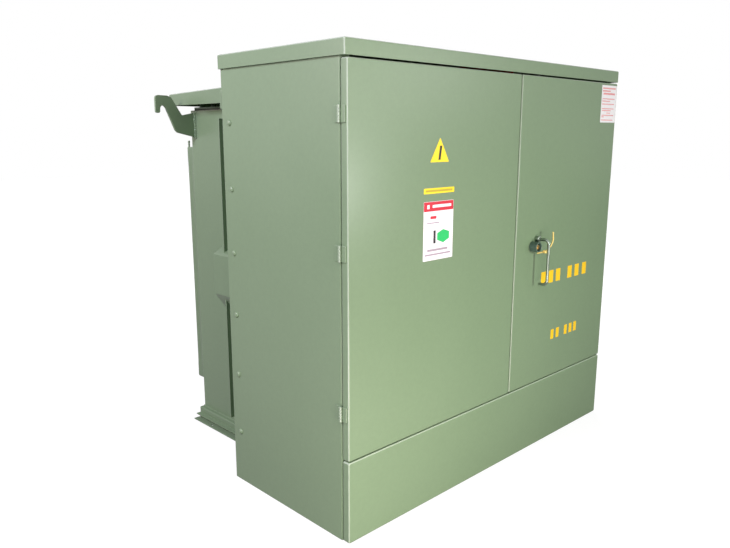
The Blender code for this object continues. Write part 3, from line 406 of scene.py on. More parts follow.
def drawn(path, radii, sides=12):
    """A round bar along a path; one radius, or one for each point."""
    points = [Vector(p) for p in path]
    side = None
    rings = []
    for i, point in enumerate(points):
        ahead = (points[min(i + 1, len(points) - 1)] - points[max(i - 1, 0)]).normalized()
        side = ahead.orthogonal() if side is None else side
        side = (side - ahead * side.dot(ahead)).normalized()
        up = ahead.cross(side)
        radius = radii[i] if isinstance(radii, list) else radii
        angles = [2 * math.pi * k / sides for k in range(sides)]
        rings.append([point + radius * (math.cos(a) * side + math.sin(a) * up) for a in angles])
    return loft(rings)


def weld_bead(start, end, radius, ripple):
    """A bead of weld from one point to another, half sunk in the corner that it fills."""
    start, end = Vector(start), Vector(end)
    count = max(4, int((end - start).length / ripple * 3))
    path = [start.lerp(end, i / count) for i in range(count + 1)]
    radii = [radius * (1 + 0.13 * math.cos(2 * math.pi * i / 3)) for i in range(count + 1)]
    return drawn(path, radii, 8)


def hex_head(axis, centre, start, end, across, turn=0.0):
    """A six-sided head with its outer corners taken off."""
    radius = across / math.sqrt(3)
    edge = start + (end - start) * 0.82
    return turned(axis, centre, [(start, radius), (edge, radius), (end, radius * 0.88)], 6, turn)


print("two lathe steps in metres", lathe_mm(1, [(0, 5), (10, 5)]))

# %% [markdown]
# ## Dressing a body
# Each new piece rides on the body that carries it on the real object, names its finish and may stand for a
# plain solid. Rounded edges shade best when large faces keep their own normals, which the weighted normals
# do.


# %% Dress and cut
def dress(name, shape, body, finish, stands_for=(), sharp=35):
    mesh = bpy.data.meshes.new(name)
    shape.to_mesh(mesh)
    shape.free()
    piece = bpy.data.objects.new(name, mesh)
    bpy.context.scene.collection.objects.link(piece)
    mesh.materials.append(finish)
    mesh.shade_smooth()
    mesh.set_sharp_from_angle(angle=math.radians(sharp))
    piece.modifiers.new("Flat faces stay flat", "WEIGHTED_NORMAL").keep_sharp = True
    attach(piece, body)
    if stands_for:
        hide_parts(*stands_for)
    return piece


def cut_away(shape, *cutters):
    """Take shapes away from a mesh, as a punch does."""
    items = []
    for part in (shape, join(*cutters)):
        mesh = bpy.data.meshes.new("cut")
        part.to_mesh(mesh)
        part.free()
        item = bpy.data.objects.new("cut", mesh)
        bpy.context.scene.collection.objects.link(item)
        items.append(item)
    punch = items[0].modifiers.new("Punch", "BOOLEAN")
    punch.operation = "DIFFERENCE"
    punch.solver = "EXACT"
    punch.object = items[1]
    bpy.context.view_layer.update()
    result = bmesh.new()
    result.from_object(items[0], bpy.context.evaluated_depsgraph_get())
    for item in items:
        bpy.data.meshes.remove(item.data)
    return result


# %% [markdown]
# ## Cabinet
# The cabinet is folded from 2.5 mm steel. Doors and sill are trays with a bend radius of about 5 mm, whose
# edges catch the light as thin bright lines, and the enamel of doors, sill and roof paints a pale highlight on
# their folds as well. The side panels fold inwards at the front to make the door jambs, and the roof is a
# shallow cap. Lofting a profile round a rectangle gives all of these with clean corners.

# %% Trays and the left door
SHEET = 2.5 * MM
BEND = 5.5 * MM
LIP = 18 * MM
TRAY_DEPTH = 31 * MM
TRAY_CORNER = 7 * MM


def tray(node):
    """A door or the sill: round the front corner, along the return and in along the lip."""
    low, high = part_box(node)
    front, back = low.y, low.y + TRAY_DEPTH
    profile = arc((BEND, front + BEND), BEND, -90, -180)
    profile += arc((BEND, back - BEND), BEND, 180, 90)
    profile += [(LIP, back), (LIP, back - SHEET), (BEND, back - SHEET), (SHEET, back - BEND)]
    profile += [(SHEET, front + BEND), (BEND, front + SHEET)]
    return pan("y", (low.x, low.z), (high.x, high.z), TRAY_CORNER, profile)


dress("left_door_tray", tray("left_door"), "left_door", HIGHLIT_FOLD_ENAMEL, ["left_door"])
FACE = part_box("left_door")[0].y
print("door face at", round(FACE, 4))

# %% [markdown]
# ### Right door
# The right door carries the lock, so its sheet is punched for the handle's shaft and the bolt, and its edges
# are slotted for the latch rods. Two strap guides hold each rod against the inside of the sheet.

# %% Right door
JOINTS = {joint["name"]: joint["pos_m"] for joint in frame["joints"] if "pos_m" in joint}
HANDLE = Vector(JOINTS["handle_turn"])
BOLT = Vector(JOINTS["bolt_turn"])
ROD_HALF = 8 * MM
PLAY = 0.5 * MM
SLOT_REACH = 25 * MM
GUIDE_HALF = 11 * MM
rod_places = []
for node, end in (("latch_rod_upper", 1), ("latch_rod_lower", 0)):
    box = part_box(node)
    rod_places.append(((box[0].x + box[1].x) / 2, box[0].y, box[1].y, box[end].z))

holes = []
for x, y0, y1, tip in rod_places:
    low = (x - ROD_HALF - PLAY, y0 - PLAY, tip - SLOT_REACH)
    holes.append(block(low, (x + ROD_HALF + PLAY, y1 + PLAY, tip + SLOT_REACH)))
for place, radius_mm in ((HANDLE, 10.5), (BOLT, 6.5)):
    holes.append(turned("y", (place.x, place.z), lathe_mm(FACE, [(-5, radius_mm), (5, radius_mm)])))
guides = []
for (x, y0, y1, tip), way in zip(rod_places, (1, -1)):
    for z in (HANDLE.z + way * 110 * MM, tip - way * 80 * MM):
        outer = (14.5 * MM, FACE + SHEET, y1 + 3.5 * MM)
        inner = (ROD_HALF + PLAY, y0 - PLAY, y1 + PLAY)
        bottoms, tops = [], []
        for reach, front, back in (outer, inner):
            corners = ((x - reach, front), (x + reach, front), (x + reach, back), (x - reach, back))
            bottoms.append([spot("z", z - GUIDE_HALF, u, v) for u, v in corners])
            tops.append([point + Vector((0, 0, 2 * GUIDE_HALF)) for point in bottoms[-1]])
        guides.append(loft([bottoms[0], tops[0], tops[1], bottoms[1]], closed=True))
door = join(cut_away(tray("right_door"), *holes), *guides)
dress("right_door_tray", door, "right_door", HIGHLIT_FOLD_ENAMEL, ["right_door"])
print("right door with", len(holes), "holes and", len(guides), "guides")

# %% Sill, roof and side panels
dress("sill_tray", tray("front_sill"), "root", HIGHLIT_FOLD_ENAMEL, ["front_sill"])

low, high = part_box("cabinet_roof")
cap = arc((BEND, high.z - BEND), BEND, 90, 180)
cap += [(0, low.z), (SHEET, low.z), (SHEET, high.z - BEND), (BEND, high.z - SHEET)]
roof = pan("z", (low.x, low.y), (high.x, high.y), 6 * MM, cap)
dress("roof_cap", roof, "root", HIGHLIT_FOLD_ENAMEL, ["cabinet_roof"])

SIDES = (("left", -1), ("right", 1))
JAMB = 38.75 * MM
REAR_FOLD = 9 * MM
for side_name, side in SIDES:
    low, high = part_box(f"side_panel_{side_name}")
    outer = side * max(abs(low.x), abs(high.x)) - side * SHEET / 2
    jamb = low.y + SHEET / 2
    rear = high.y - SHEET / 2
    path = [(outer - side * JAMB, jamb), (outer, jamb), (outer, rear), (outer - side * REAR_FOLD, rear)]
    sheet = prism(folded(path, SHEET, 4 * MM), "z", low.z, high.z)
    dress(f"side_sheet_{side_name}", sheet, "root", ENAMEL, [f"side_panel_{side_name}"])
print("side panels reach", round(high.z, 3), "m up")

# %% [markdown]
# ## Hinges
# Outside butt hinges are two stamped leaves whose ends roll into knuckles round one pin. Each leaf is a plate
# with eased edges and its own knuckles, and the fixed leaf also carries the pin with its peened ends. The
# plates are let into the wall a little, so that no gap shows under their eased edges.

# %% Hinges
WALL = 845.3 * MM
KNUCKLES = 5
KNUCKLE = 6 * MM
KNUCKLE_END = 5.4 * MM
LEAF = 4 * MM
LET_IN = 2 * MM
LEAF_NEAR = 7 * MM
LEAF_FAR = 25 * MM
for side_name, side in SIDES:
    pin = JOINTS[f"{side_name}_door_swing"][:2]
    wall = side * WALL
    plate_x = sorted((wall, wall + side * LEAF))
    sunk_x = sorted((wall - side * LET_IN, wall + side * LEAF))
    for number in (1, 2, 3):
        low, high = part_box(f"{side_name}_hinge_{number}_frame_leaf")
        pitch = (high.z - low.z) / KNUCKLES
        leaves = (("frame_leaf", 0, pin[1] + LEAF_NEAR, pin[1] + LEAF_FAR, "root"),
                  ("door_leaf", 1, pin[1] - LEAF_FAR, pin[1] - LEAF_NEAR, f"{side_name}_door"))
        for leaf, first, y0, y1, body in leaves:
            shapes = [block((sunk_x[0], y0, low.z), (sunk_x[1], y1, high.z), 1.6 * MM)]
            for i in range(first, KNUCKLES, 2):
                z0, z1 = low.z + pitch * i + 0.2 * MM, low.z + pitch * (i + 1) - 0.2 * MM
                roll = [(z0, KNUCKLE_END), (z0 + 0.6 * MM, KNUCKLE)]
                roll += [(z1 - 0.6 * MM, KNUCKLE), (z1, KNUCKLE_END)]
                shapes.append(turned("z", pin, roll, 28))
                y_low, y_high = sorted((pin[1], y0 if first == 0 else y1))
                shapes.append(block((plate_x[0], y_low, z0), (plate_x[1], y_high, z1)))
            if leaf == "frame_leaf":
                for z, way in ((low.z, -1), (high.z, 1)):
                    peen = lathe_mm(z, [(-1, 3.2), (0.8, 3), (1.6, 1.5)], way)
                    shapes.append(turned("z", pin, peen, 20))
            name = f"{side_name}_hinge_{number}_{leaf}"
            # The hinge enamel paints pale highlights on the knuckles and eased edges.
            dress(f"{name}_stamped", join(*shapes), body, HIGHLIT_HINGE_ENAMEL, [name])
print("hinges: six, two leaves each")

# %% [markdown]
# ## Handle, bolt and latch
# The handle is one bent bar on a round boss. It turns a cam behind the door sheet, which draws two flat rods.
# Beside it a cup guards the five-sided bolt, so that only the right socket fits.

# %% Handle and cam
handle_low, handle_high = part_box("door_handle")
shaft = (HANDLE.x, HANDLE.z)
BAR = 6 * MM
BAR_TURN = 20 * MM
out = handle_low.y + BAR
foot = handle_low.z + BAR
path = [(FACE - 6 * MM, HANDLE.z)]
path += arc((out + BAR_TURN, HANDLE.z - BAR_TURN), BAR_TURN, 90, 180, 10)
path += arc((out + BAR_TURN, foot + BAR_TURN), BAR_TURN, 180, 270, 10)
path += [(FACE - 23.5 * MM, foot), (FACE - 22 * MM, foot)]
radii = [BAR] * (len(path) - 1) + [5 * MM]
bar = drawn([(HANDLE.x, y, z) for y, z in path], radii, 20)
profile = lathe_mm(FACE, [(-18, 9), (-17, 12), (-14, 13.6), (-2, 14), (-0.3, 13.5), (-0.3, 10)])
boss = turned("y", shaft, profile + [(handle_high.y, 10 * MM)])
dress("bent_bar_handle", join(bar, boss), "handle", HANDLE_STEEL, ["door_handle"], 50)

PIN_REACH = 28 * MM * math.sqrt(0.5)
low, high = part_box("latch_cam")
disc_back = low.y + 6 * MM
profile = lathe_mm(low.y, [(0, 33.3), (0.7, 34)])
profile += lathe_mm(disc_back, [(-0.7, 34), (0, 33.3), (0, 10.3)]) + [(low.y, 10.3 * MM)]
shapes = [sleeve("y", shaft, profile, 64)]
for way in (1, -1):
    pin = PIN_REACH * way
    profile = [(disc_back - MM, 4 * MM), (high.y - 0.6 * MM, 4 * MM), (high.y, 3.4 * MM)]
    shapes.append(turned("y", (HANDLE.x - pin, HANDLE.z + pin), profile, 24))
dress("latch_cam_disc", join(*shapes), "handle", ZINC, ["latch_cam"])
print("handle reaches", round((FACE - handle_low.y) * 1000), "mm out")

# %% Latch rods
RISE = 11.5 * MM
TIP_HALF = 5 * MM
for node, body, (x, y0, y1, tip), way in (("latch_rod_upper", "upper_rod", rod_places[0], 1),
                                          ("latch_rod_lower", "lower_rod", rod_places[1], -1)):
    low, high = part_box(node)
    pin = HANDLE.z + way * PIN_REACH
    half = (high.x - low.x) / 2
    near, far = pin - way * RISE, pin + way * RISE
    neck = pin + way * (RISE + 9 * MM)
    taper = tip - way * 4 * MM
    outline = [(-half, near), (half, near), (half, far), (ROD_HALF, neck), (ROD_HALF, taper), (TIP_HALF, tip),
               (-TIP_HALF, tip), (-ROD_HALF, taper), (-ROD_HALF, neck), (-half, far)]
    outline = fillet([(x + u, z) for u, z in outline], 2 * MM)
    slot_low, slot_high = (x - half + 6 * MM, pin - 5.5 * MM), (x + half - 6 * MM, pin + 5.5 * MM)
    opening = loft([rounded("y", y, slot_low, slot_high, 5 * MM) for y in (y0 - MM, y1 + MM)])
    strip = cut_away(soften(prism(outline, "y", y0, y1), 0.5 * MM), opening)
    dress(f"{node}_strip", strip, body, ZINC, [node])
print("latch rods end at", [round(place[3], 3) for place in rod_places])

# %% Guard cup and bolt
socket = (BOLT.x, BOLT.z)
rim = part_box("bolt_guard")[0].y
profile = lathe_mm(FACE, [(-0.3, 21.5)])
profile += lathe_mm(rim, [(1.2, 21.5), (0.4, 21.1), (0, 20.3), (0, 17.7), (0.4, 16.9), (1.2, 16.5)])
profile += lathe_mm(FACE, [(-4, 16.5), (-4, 6.5), (-0.3, 6.5)])
# The guard cup wears the darker enamel as painted shade.
dress("guard_cup", sleeve("y", socket, profile, 48), "right_door", CUP_SHADE_ENAMEL, ["bolt_guard"])
bolt_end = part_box("five_sided_bolt")[1].y
head = FACE - 4.5 * MM
profile = lathe_mm(rim + 5 * MM, [(0, 9.4), (1.2, 11)]) + [(head, 11 * MM)]
shapes = [turned("y", socket, profile, 5, math.pi / 2),
          turned("y", socket, lathe_mm(head, [(-1, 6)]) + lathe_mm(bolt_end, [(-1, 6), (0, 5)]), 24)]
dress("five_sided_bolt_turned", join(*shapes), "bolt", BRASS, ["five_sided_bolt"])
print("cup stands", round((FACE - rim) * 1000), "mm out")

# %% [markdown]
# ## Tank, lid and hood
# The tank is welded plate whose top edge turns inwards. A lid is bolted to it over a gasket, and a sloped
# hood of thin sheet keeps rain off the joint. Flat bars stiffen the tank's sides.

# %% Tank and lid
TANK_HALF = 605 * MM
tank_low, tank_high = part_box("tank")
TANK_FRONT, TANK_REAR, TANK_TOP = tank_low.y, tank_high.y, tank_high.z


def slab(low, high, bottom, top, corner, ease):
    """Plate with eased edges."""
    return pan("z", low, high, corner, [(ease, bottom), (0, bottom + ease), (0, top - ease), (ease, top)])


shapes = [slab((-TANK_HALF, TANK_FRONT), (TANK_HALF, TANK_REAR), tank_low.z, TANK_TOP, 9 * MM, 3 * MM)]
BAR_BACK = TANK_REAR - 298 * MM
BAR_THICK = 8 * MM
brace_low, brace_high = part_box("side_brace_left")
spans = ((tank_low.z + 40 * MM, brace_low.z + 70 * MM), (brace_high.z - 30 * MM, TANK_TOP - 40 * MM))
for side in (-1, 1):
    xs = sorted((side * (TANK_HALF - 1 * MM), side * (TANK_HALF + 45 * MM)))
    for bottom, top in spans:
        shapes.append(block((xs[0], BAR_BACK - BAR_THICK, bottom), (xs[1], BAR_BACK, top), 1.8 * MM))
        for y in (BAR_BACK + 0.5 * MM, BAR_BACK - 8.5 * MM):
            x = side * TANK_HALF
            shapes.append(weld_bead((x, y, bottom), (x, y, top), 3 * MM, 9 * MM))
# The tank's rounded corners get the painted fold highlight.
dress("welded_tank", join(*shapes), "root", HIGHLIT_FOLD_ENAMEL, ["tank"])

for node, finish, name in (("lid_gasket", RUBBER, "lid_gasket_sheet"), ("tank_lid", ENAMEL, "lid_plate")):
    lid_low, lid_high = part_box(node)
    plate = slab(lid_low.xy, lid_high.xy, lid_low.z, lid_high.z, 10 * MM, 0.8 * MM)
    dress(name, plate, "root", finish, [node])
LID_TOP = lid_high.z
print("tank", round(TANK_HALF * 2000), "mm wide")

# %% Hood
low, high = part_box("tank_hood")
HOOD_CORNER = 8 * MM
HOOD_BOTTOM = LID_TOP + 7.4 * MM
HOOD_REAR_TOP = HOOD_BOTTOM + 50 * MM


def hood_ring(inset, drop, flat=None):
    """A ring round the hood, inset from its edge and some way below the slope, or at a flat height."""
    corner = max(HOOD_CORNER - inset, 0.5 * MM)
    ring = rounded("z", 0, (low.x + inset, low.y + inset), (high.x - inset, high.y - inset), corner)
    for point in ring:
        slope = HOOD_REAR_TOP + (high.z - HOOD_REAR_TOP) * (high.y - point.y) / (high.y - low.y)
        point.z = flat if flat is not None else slope - drop
    return ring


rings = [hood_ring(inset, drop) for inset, drop in arc((BEND, BEND), BEND, -90, -180)]
rings += [hood_ring(0, 0, HOOD_BOTTOM + 1.5 * MM), hood_ring(0.6 * MM, 0, HOOD_BOTTOM)]
rings += [hood_ring(3 * MM, 0, HOOD_BOTTOM), hood_ring(3 * MM, BEND), hood_ring(BEND + 2 * MM, 3 * MM)]
# The hood's bends get the painted fold highlight.
dress("hood_cap", loft(rings), "root", HIGHLIT_FOLD_ENAMEL, ["tank_hood"])
print("hood rear edge", round(HOOD_REAR_TOP, 3))

# %% [markdown]
# ## Cover bolts and side screws
# Bolts with hexagon heads clamp the lid all round, and domed screws hold the side panels to the inner frame.
# The cover bolts are one mesh, and so are the screws of each side, because they never move apart.

# %% Cover bolts and side screws
BOLT_PITCH = 93.5 * MM
BOLT_EDGE = 33 * MM
rows = [TANK_REAR - 53 * MM - i * BOLT_PITCH for i in range(7)]
places = [(side * (TANK_HALF - BOLT_EDGE), y) for side in (-1, 1) for y in rows]
places += [(i * BOLT_PITCH, TANK_REAR - BOLT_EDGE) for i in range(-6, 7)]
bolts = []
for x, y in places:
    bolts.append(turned("z", (x, y), lathe_mm(LID_TOP, [(0, 12), (2, 12)]), 24))
    bolts.append(hex_head("z", (x, y), LID_TOP + 2 * MM, LID_TOP + 12 * MM, 19 * MM, x))
dress("cover_bolts", join(*bolts), "root", ENAMEL)

SCREW_BACK = FACE + 631 * MM
SCREW_FIRST = 210 * MM
SCREW_PITCH = 240 * MM
angles = [math.radians(10 * k) for k in range(1, 10)]
dome = [(1.5 + 6.5 * math.sin(a), max(11 * math.cos(a), 0.3)) for a in angles]
for side_name, side in SIDES:
    profile = lathe_mm(side * 845 * MM, [(-1, 11.5), (1.5, 11.5)] + dome, side)
    screws = [turned("x", (SCREW_BACK, SCREW_FIRST + SCREW_PITCH * i), profile, 32) for i in range(6)]
    dress(f"side_screws_{side_name}", join(*screws), "root", ENAMEL)
print("cover bolts", len(places), "side screws", 2 * len(screws))

# %% [markdown]
# ## Rails, braces and lifting hooks
# The rails are bent plate with a toe that bolts to the pad. The braces are pressed hat sections. The hooks
# are cut from 12 mm plate with a flame, which leaves eased edges, and are welded to the tank all round their
# root.

# %% Base rails
RAIL_MM = [(-45, 0), (60, 0), (60, 5), (24, 5), (24, 22), (46, 22), (46, 27), (24, 27), (24, 55), (-45, 55),
           (-45, 50), (19, 50), (19, 5), (-45, 5)]
BENT_CORNER = 8
RAIL_MM[BENT_CORNER:BENT_CORNER + 1] = arc((20, 51), 4, 0, 90, 4)
for side_name, side in SIDES:
    node = f"base_rail_{side_name}"
    low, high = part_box(node)
    outline = [(side * (TANK_HALF + u * MM), v * MM) for u, v in RAIL_MM]
    rail = soften(prism(outline, "y", low.y, high.y), 1.2 * MM, 50)
    toe = side * (TANK_HALF + 42 * MM)
    holes = [turned("z", (toe, y), lathe_mm(0, [(-1, 7), (6, 7)]), 24)
             for y in (low.y + 136 * MM, high.y - 136 * MM)]
    ends = [(side * (TANK_HALF + 1 * MM), y, 55.5 * MM) for y in (low.y, high.y)]
    seam = weld_bead(*ends, 3 * MM, 9 * MM)
    dress(f"{node}_plate", join(cut_away(rail, *holes), seam), "root", ENAMEL, [node])
print("rails", round(high.y - low.y, 3), "m long")

# %% Braces and lifting hooks
HOOK_MM = ((0, -10), (65, -23), (114, 53), (133, 60), (176, 61), (187, 57), (190, 47), (190, -13), (170, -15),
           (168, 8), (162, 17), (151, 17), (142, 8), (101, -88), (90, -98), (0, -119))
for side_name, side in SIDES:
    node = f"side_brace_{side_name}"
    low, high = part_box(node)
    wall = side * (TANK_HALF + 0.3 * MM)
    face = side * (TANK_HALF + 60 * MM)
    rings = [rounded("x", wall, (low.y, low.z), (high.y, high.z), 4 * MM),
             rounded("x", face, (low.y, low.z + 87 * MM), (high.y, high.z - 34 * MM), 4 * MM)]
    dress(f"{node}_hat", soften(loft(rings), 5 * MM, 30, 3), "root", ENAMEL, [node])

    for row in ("front", "rear"):
        node = f"lifting_hook_{row}_{side_name}"
        low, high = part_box(node)
        outline = [(side * (TANK_HALF + 0.3 * MM + u * MM), TANK_TOP + v * MM) for u, v in HOOK_MM]
        plate = soften(prism(fillet(outline, 7 * MM), "y", low.y, high.y), 1.2 * MM, 50)
        x = side * (TANK_HALF + 0.5 * MM)
        beads = [weld_bead((x, y, TANK_TOP - 121 * MM), (x, y, TANK_TOP - 10 * MM), 8 * MM, 7 * MM)
                 for y in (low.y, high.y)]
        dress(f"{node}_plate", join(plate, *beads), "root", ENAMEL, [node])
print("braces and hooks on both sides")

# %% [markdown]
# ## Radiators
# Each radiator is a bank of hollow panels between two headers. A panel is two pressed sheets, seam-welded
# round the edge, with upright channels for the oil. A ring round the panel's section, drawn at many heights,
# gives the bulges, and the pattern fades near the headers, where the oil spreads out.

# %% Radiator panel
CHANNELS = 5
SEAM = 1.2 * MM
BULGE = 4.8 * MM
BORDER = 7 * MM
COLUMNS = 30
END_LEVELS_MM = (0, 1.5, 3.5, 5.5, 8, 40, 60, 80, 100, 120)


def soft_step(x):
    """Rise smoothly from 0 to 1."""
    x = min(max(x, 0), 1)
    return x * x * (3 - 2 * x)


def radiator_panel(x, y0, y1, z0, z1):
    ends = [h * MM for h in END_LEVELS_MM]
    span = z1 - z0
    rings = []
    for level in ends + [span * k / 8 for k in range(2, 7)] + [span - h for h in reversed(ends)]:
        end = min(level, span - level)
        near, far = [], []
        for i in range(COLUMNS + 1):
            u = i / COLUMNS
            border = soft_step(min(u, 1 - u) * (y1 - y0) / BORDER) * soft_step(end / BORDER)
            channel = 0.35 + 0.65 * abs(math.sin(math.pi * CHANNELS * u))
            pattern = 1 + (channel - 1) * soft_step((end - 55 * MM) / (50 * MM))
            half = SEAM + BULGE * border * pattern
            near.append(Vector((x - half, y0 + u * (y1 - y0), z0 + level)))
            far.append(Vector((x + half, y0 + u * (y1 - y0), z0 + level)))
        rings.append(near + far[::-1])
    return loft(rings)


print("oil channels in each panel", CHANNELS)

# %% [markdown]
# ### Banks, headers and flanges
# Short headers join the panels at top and bottom. A flanged stub with four bolts carries each header on the
# tank, and a vent plug stands on the outermost panel.


# %% Radiator banks
def head_circle(centre, reach, start, end, across):
    """Four hexagon heads round a flange that faces along y."""
    heads = []
    for k in range(4):
        a = math.pi / 4 + k * math.pi / 2
        place = (centre[0] + reach * math.cos(a), centre[1] + reach * math.sin(a))
        heads.append(hex_head("y", place, start, end, across))
    return heads


PANEL_PITCH = 50 * MM
HEADER_AWAY = 56 * MM
flange = lathe_mm(TANK_REAR, [(0.3, 50), (9, 50), (10, 49), (10, 26)])
for side_name, side in SIDES:
    node = f"radiator_{side_name}"
    low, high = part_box(node)
    front = TANK_REAR + 25 * MM
    top = high.z - 30 * MM
    first = side * (max(abs(low.x), abs(high.x)) - 6 * MM)
    xs = [first - side * i * PANEL_PITCH for i in range(8)]
    shapes = [radiator_panel(x, front, high.y, low.z, top) for x in xs]
    middle = (front + high.y) / 2
    stub = (xs[3] + xs[4]) / 2
    for z in (low.z + HEADER_AWAY, top - HEADER_AWAY):
        for near, far in zip(xs, xs[1:]):
            a, b = sorted((near, far))
            header = lathe_mm(a, [(4, 39), (9, 34)]) + lathe_mm(b, [(-9, 34), (-4, 39)])
            shapes.append(turned("x", (middle, z), header, 32))
        shapes.append(turned("y", (stub, z), flange + [(middle, 26 * MM)], 32))
        shapes += head_circle((stub, z), 40 * MM, TANK_REAR + 10 * MM, TANK_REAR + 17 * MM, 13 * MM)
    plug = (first, high.y - 13 * MM)
    shapes.append(turned("z", plug, lathe_mm(top, [(-4, 4.2), (12, 4.2)]), 20))
    shapes.append(turned("z", plug, lathe_mm(top, [(11, 5.6), (13, 5.6)]), 20))
    shapes.append(hex_head("z", plug, top + 19 * MM, top + 30 * MM, 10 * MM))
    shapes.append(turned("z", plug, lathe_mm(top, [(13, 4), (19, 4)]), 20))
    dress(f"{node}_bank", join(*shapes), "root", ENAMEL, [node])
print("radiators: two banks of", len(xs), "panels")

# %% [markdown]
# ## Bushings
# Cables plug on to tapered high-voltage bushings of cast epoxy, each clamped by a ring with bolts.
# Low-voltage bushings end in copper spades with four bolt holes.

# %% High-voltage bushings
SEAT = FACE + 645.7 * MM


def off_wall(centre, steps, sides):
    """A lathe shape on the inner wall; steps are (distance out of the wall, radius) in millimetres."""
    return turned("y", centre, lathe_mm(SEAT, steps, -1), sides)


def node_centre(node):
    low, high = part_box(node)
    return (low.x + high.x) / 2, (low.z + high.z) / 2


HV_MM = [(-120, 10), (-60, 10), (-60, 29), (0, 29), (0, 57), (2, 58), (10, 58), (12, 56), (12, 46), (14, 44),
         (50, 42), (54, 40), (60, 40), (62, 41.5), (74, 41.5), (76, 39), (190, 26), (204, 24.5), (209, 22),
         (210, 19), (210, 11), (196, 10), (196, 0.3)]
CLAMP_MM = [(12.2, 58), (17, 58), (18, 57), (18, 49), (17, 48), (12.2, 48)]
CONTACT_MM = [(195, 9), (205, 9), (207, 8), (207, 4), (200, 3.5), (200, 0.3)]
for phase in "abc":
    node = f"hv_bushing_{phase}"
    centre = node_centre(node)
    dress(f"{node}_cast", off_wall(centre, HV_MM, 48), "root", EPOXY, [node])
    ring = [sleeve("y", centre, lathe_mm(SEAT, CLAMP_MM, -1), 48)]
    ring += head_circle(centre, 53 * MM, SEAT - 18 * MM, SEAT - 24 * MM, 9 * MM)
    dress(f"{node}_clamp_ring", join(*ring), "root", ZINC)
    dress(f"{node}_contact", off_wall(centre, CONTACT_MM, 32), "root", COPPER)
print("high-voltage bushings on a wall at", round(SEAT, 4))

# %% Low-voltage bushings
LV_MM = [(-120, 10), (-60, 10), (-60, 29), (0, 29), (0, 47), (2, 48), (14, 48), (16, 46), (16, 30), (18, 28),
         (34, 26), (36, 20)]
STUD_MM = [(34, 20), (60, 20), (62, 22), (72, 22), (75, 20), (78, 12)]
SPADE_NEAR, SPADE_FAR = SEAT - 73 * MM, SEAT - 185 * MM
SPADE_HALF = 45 * MM
HOLE_APART = 22 * MM
for phase in "nabc":
    node = f"lv_bushing_{phase}"
    x, z = node_centre(node)
    dress(f"{node}_cast", off_wall((x, z), LV_MM, 48), "root", GREY_EPOXY)
    holes = [turned("x", (y, z + k * HOLE_APART), lathe_mm(x, [(-9, 7), (9, 7)]), 24)
             for y in (SEAT - 130 * MM - HOLE_APART, SEAT - 130 * MM + HOLE_APART) for k in (-1, 1)]
    outline = fillet([(SPADE_FAR, z - SPADE_HALF), (SPADE_NEAR, z - SPADE_HALF), (SPADE_NEAR, z + SPADE_HALF),
                      (SPADE_FAR, z + SPADE_HALF)], 6 * MM)
    spade = cut_away(soften(prism(outline, "x", x - 7 * MM, x + 7 * MM), 0.8 * MM), *holes)
    nut = hex_head("y", (x, z), SEAT - 36 * MM, SEAT - 48 * MM, 46 * MM)
    dress(f"{node}_spade", join(spade, off_wall((x, z), STUD_MM, 40), nut), "root", COPPER, [node])
print("low-voltage bushings with", len(holes), "holes each")

# %% [markdown]
# ## Gauge, valves and levers
# The oil thermometer has a recessed dial with plain ticks. The relief valve has a knob to pull, the drain
# valve a spoked wheel, and the switch and tap changer have levers with an eye for a hook stick.

# %% Dial thermometer
CASE_MM = [(-120, 10), (0, 10), (0, 24), (2, 25), (13, 25), (15, 24), (15, 46), (17, 48), (43, 48),
           (45, 46.5), (45, 43), (41, 42.5), (41, 0.3)]
centre = node_centre("dial_thermometer")
dress("thermometer_case", off_wall(centre, CASE_MM, 64), "root", ZINC, ["dial_thermometer"])
card = off_wall(centre, [(41.1, 42), (41.4, 42), (41.4, 0.3)], 64)
dress("thermometer_card", card, "root", WHITE_VINYL)


def dial_mark(degrees, corners_mm, bottom_mm, top_mm):
    """A flat mark on the dial; its corners are (along, across) in millimetres from the dial's middle."""
    a = math.radians(degrees)
    along, across = Vector((math.cos(a), math.sin(a))), Vector((-math.sin(a), math.cos(a)))
    corners = [along * (u * MM) + across * (v * MM) for u, v in corners_mm]
    outline = [(centre[0] + c.x, centre[1] + c.y) for c in corners]
    return prism(outline, "y", SEAT - bottom_mm * MM, SEAT - top_mm * MM)


ticks = []
for k in range(13):
    start, half = (31, 0.9) if k % 3 == 0 else (34, 0.5)
    corners = [(start, -half), (38, -half), (38, half), (start, half)]
    ticks.append(dial_mark(225 - 270 * k / 12, corners, 41.4, 41.7))
dress("thermometer_ticks", join(*ticks), "root", BLACK_INK)
pointer = dial_mark(150, [(-8, -1), (33, 0), (-8, 1)], 42.2, 42.8)
hub = off_wall(centre, [(41.4, 3.5), (43, 3.5), (43.4, 2.5)], 24)
dress("thermometer_pointer", join(pointer, hub), "root", RED_VINYL)
print("thermometer at", centre, "with", len(ticks), "ticks")

# %% [markdown]
# ### Relief valve and drain valve
# Both are turned from brass bar with a six-sided wrench face. The wheel of the drain valve is a cast ring on
# five spokes.

# %% Relief valve
RELIEF_MM = [(-120, 10), (0, 10), (0, 20), (12, 20), (12, 22), (34, 22), (37, 20), (39.5, 16), (39.5, 5.5),
             (30, 5.4)]
STEM_MM = [(9, 5), (40.5, 5), (40.5, 10), (41, 11.5), (45, 12), (46.5, 10.5)]
centre = node_centre("relief_valve_body")
wrench_face = hex_head("y", centre, SEAT - 12 * MM, SEAT - 1 * MM, 44 * MM)
body = join(off_wall(centre, RELIEF_MM, 40), wrench_face)
dress("relief_valve_turned", body, "root", BRASS, ["relief_valve_body"])
dress("relief_stem_turned", off_wall(centre, STEM_MM, 32), "relief_stem", ZINC, ["relief_valve_stem"])
print("relief valve at", centre)

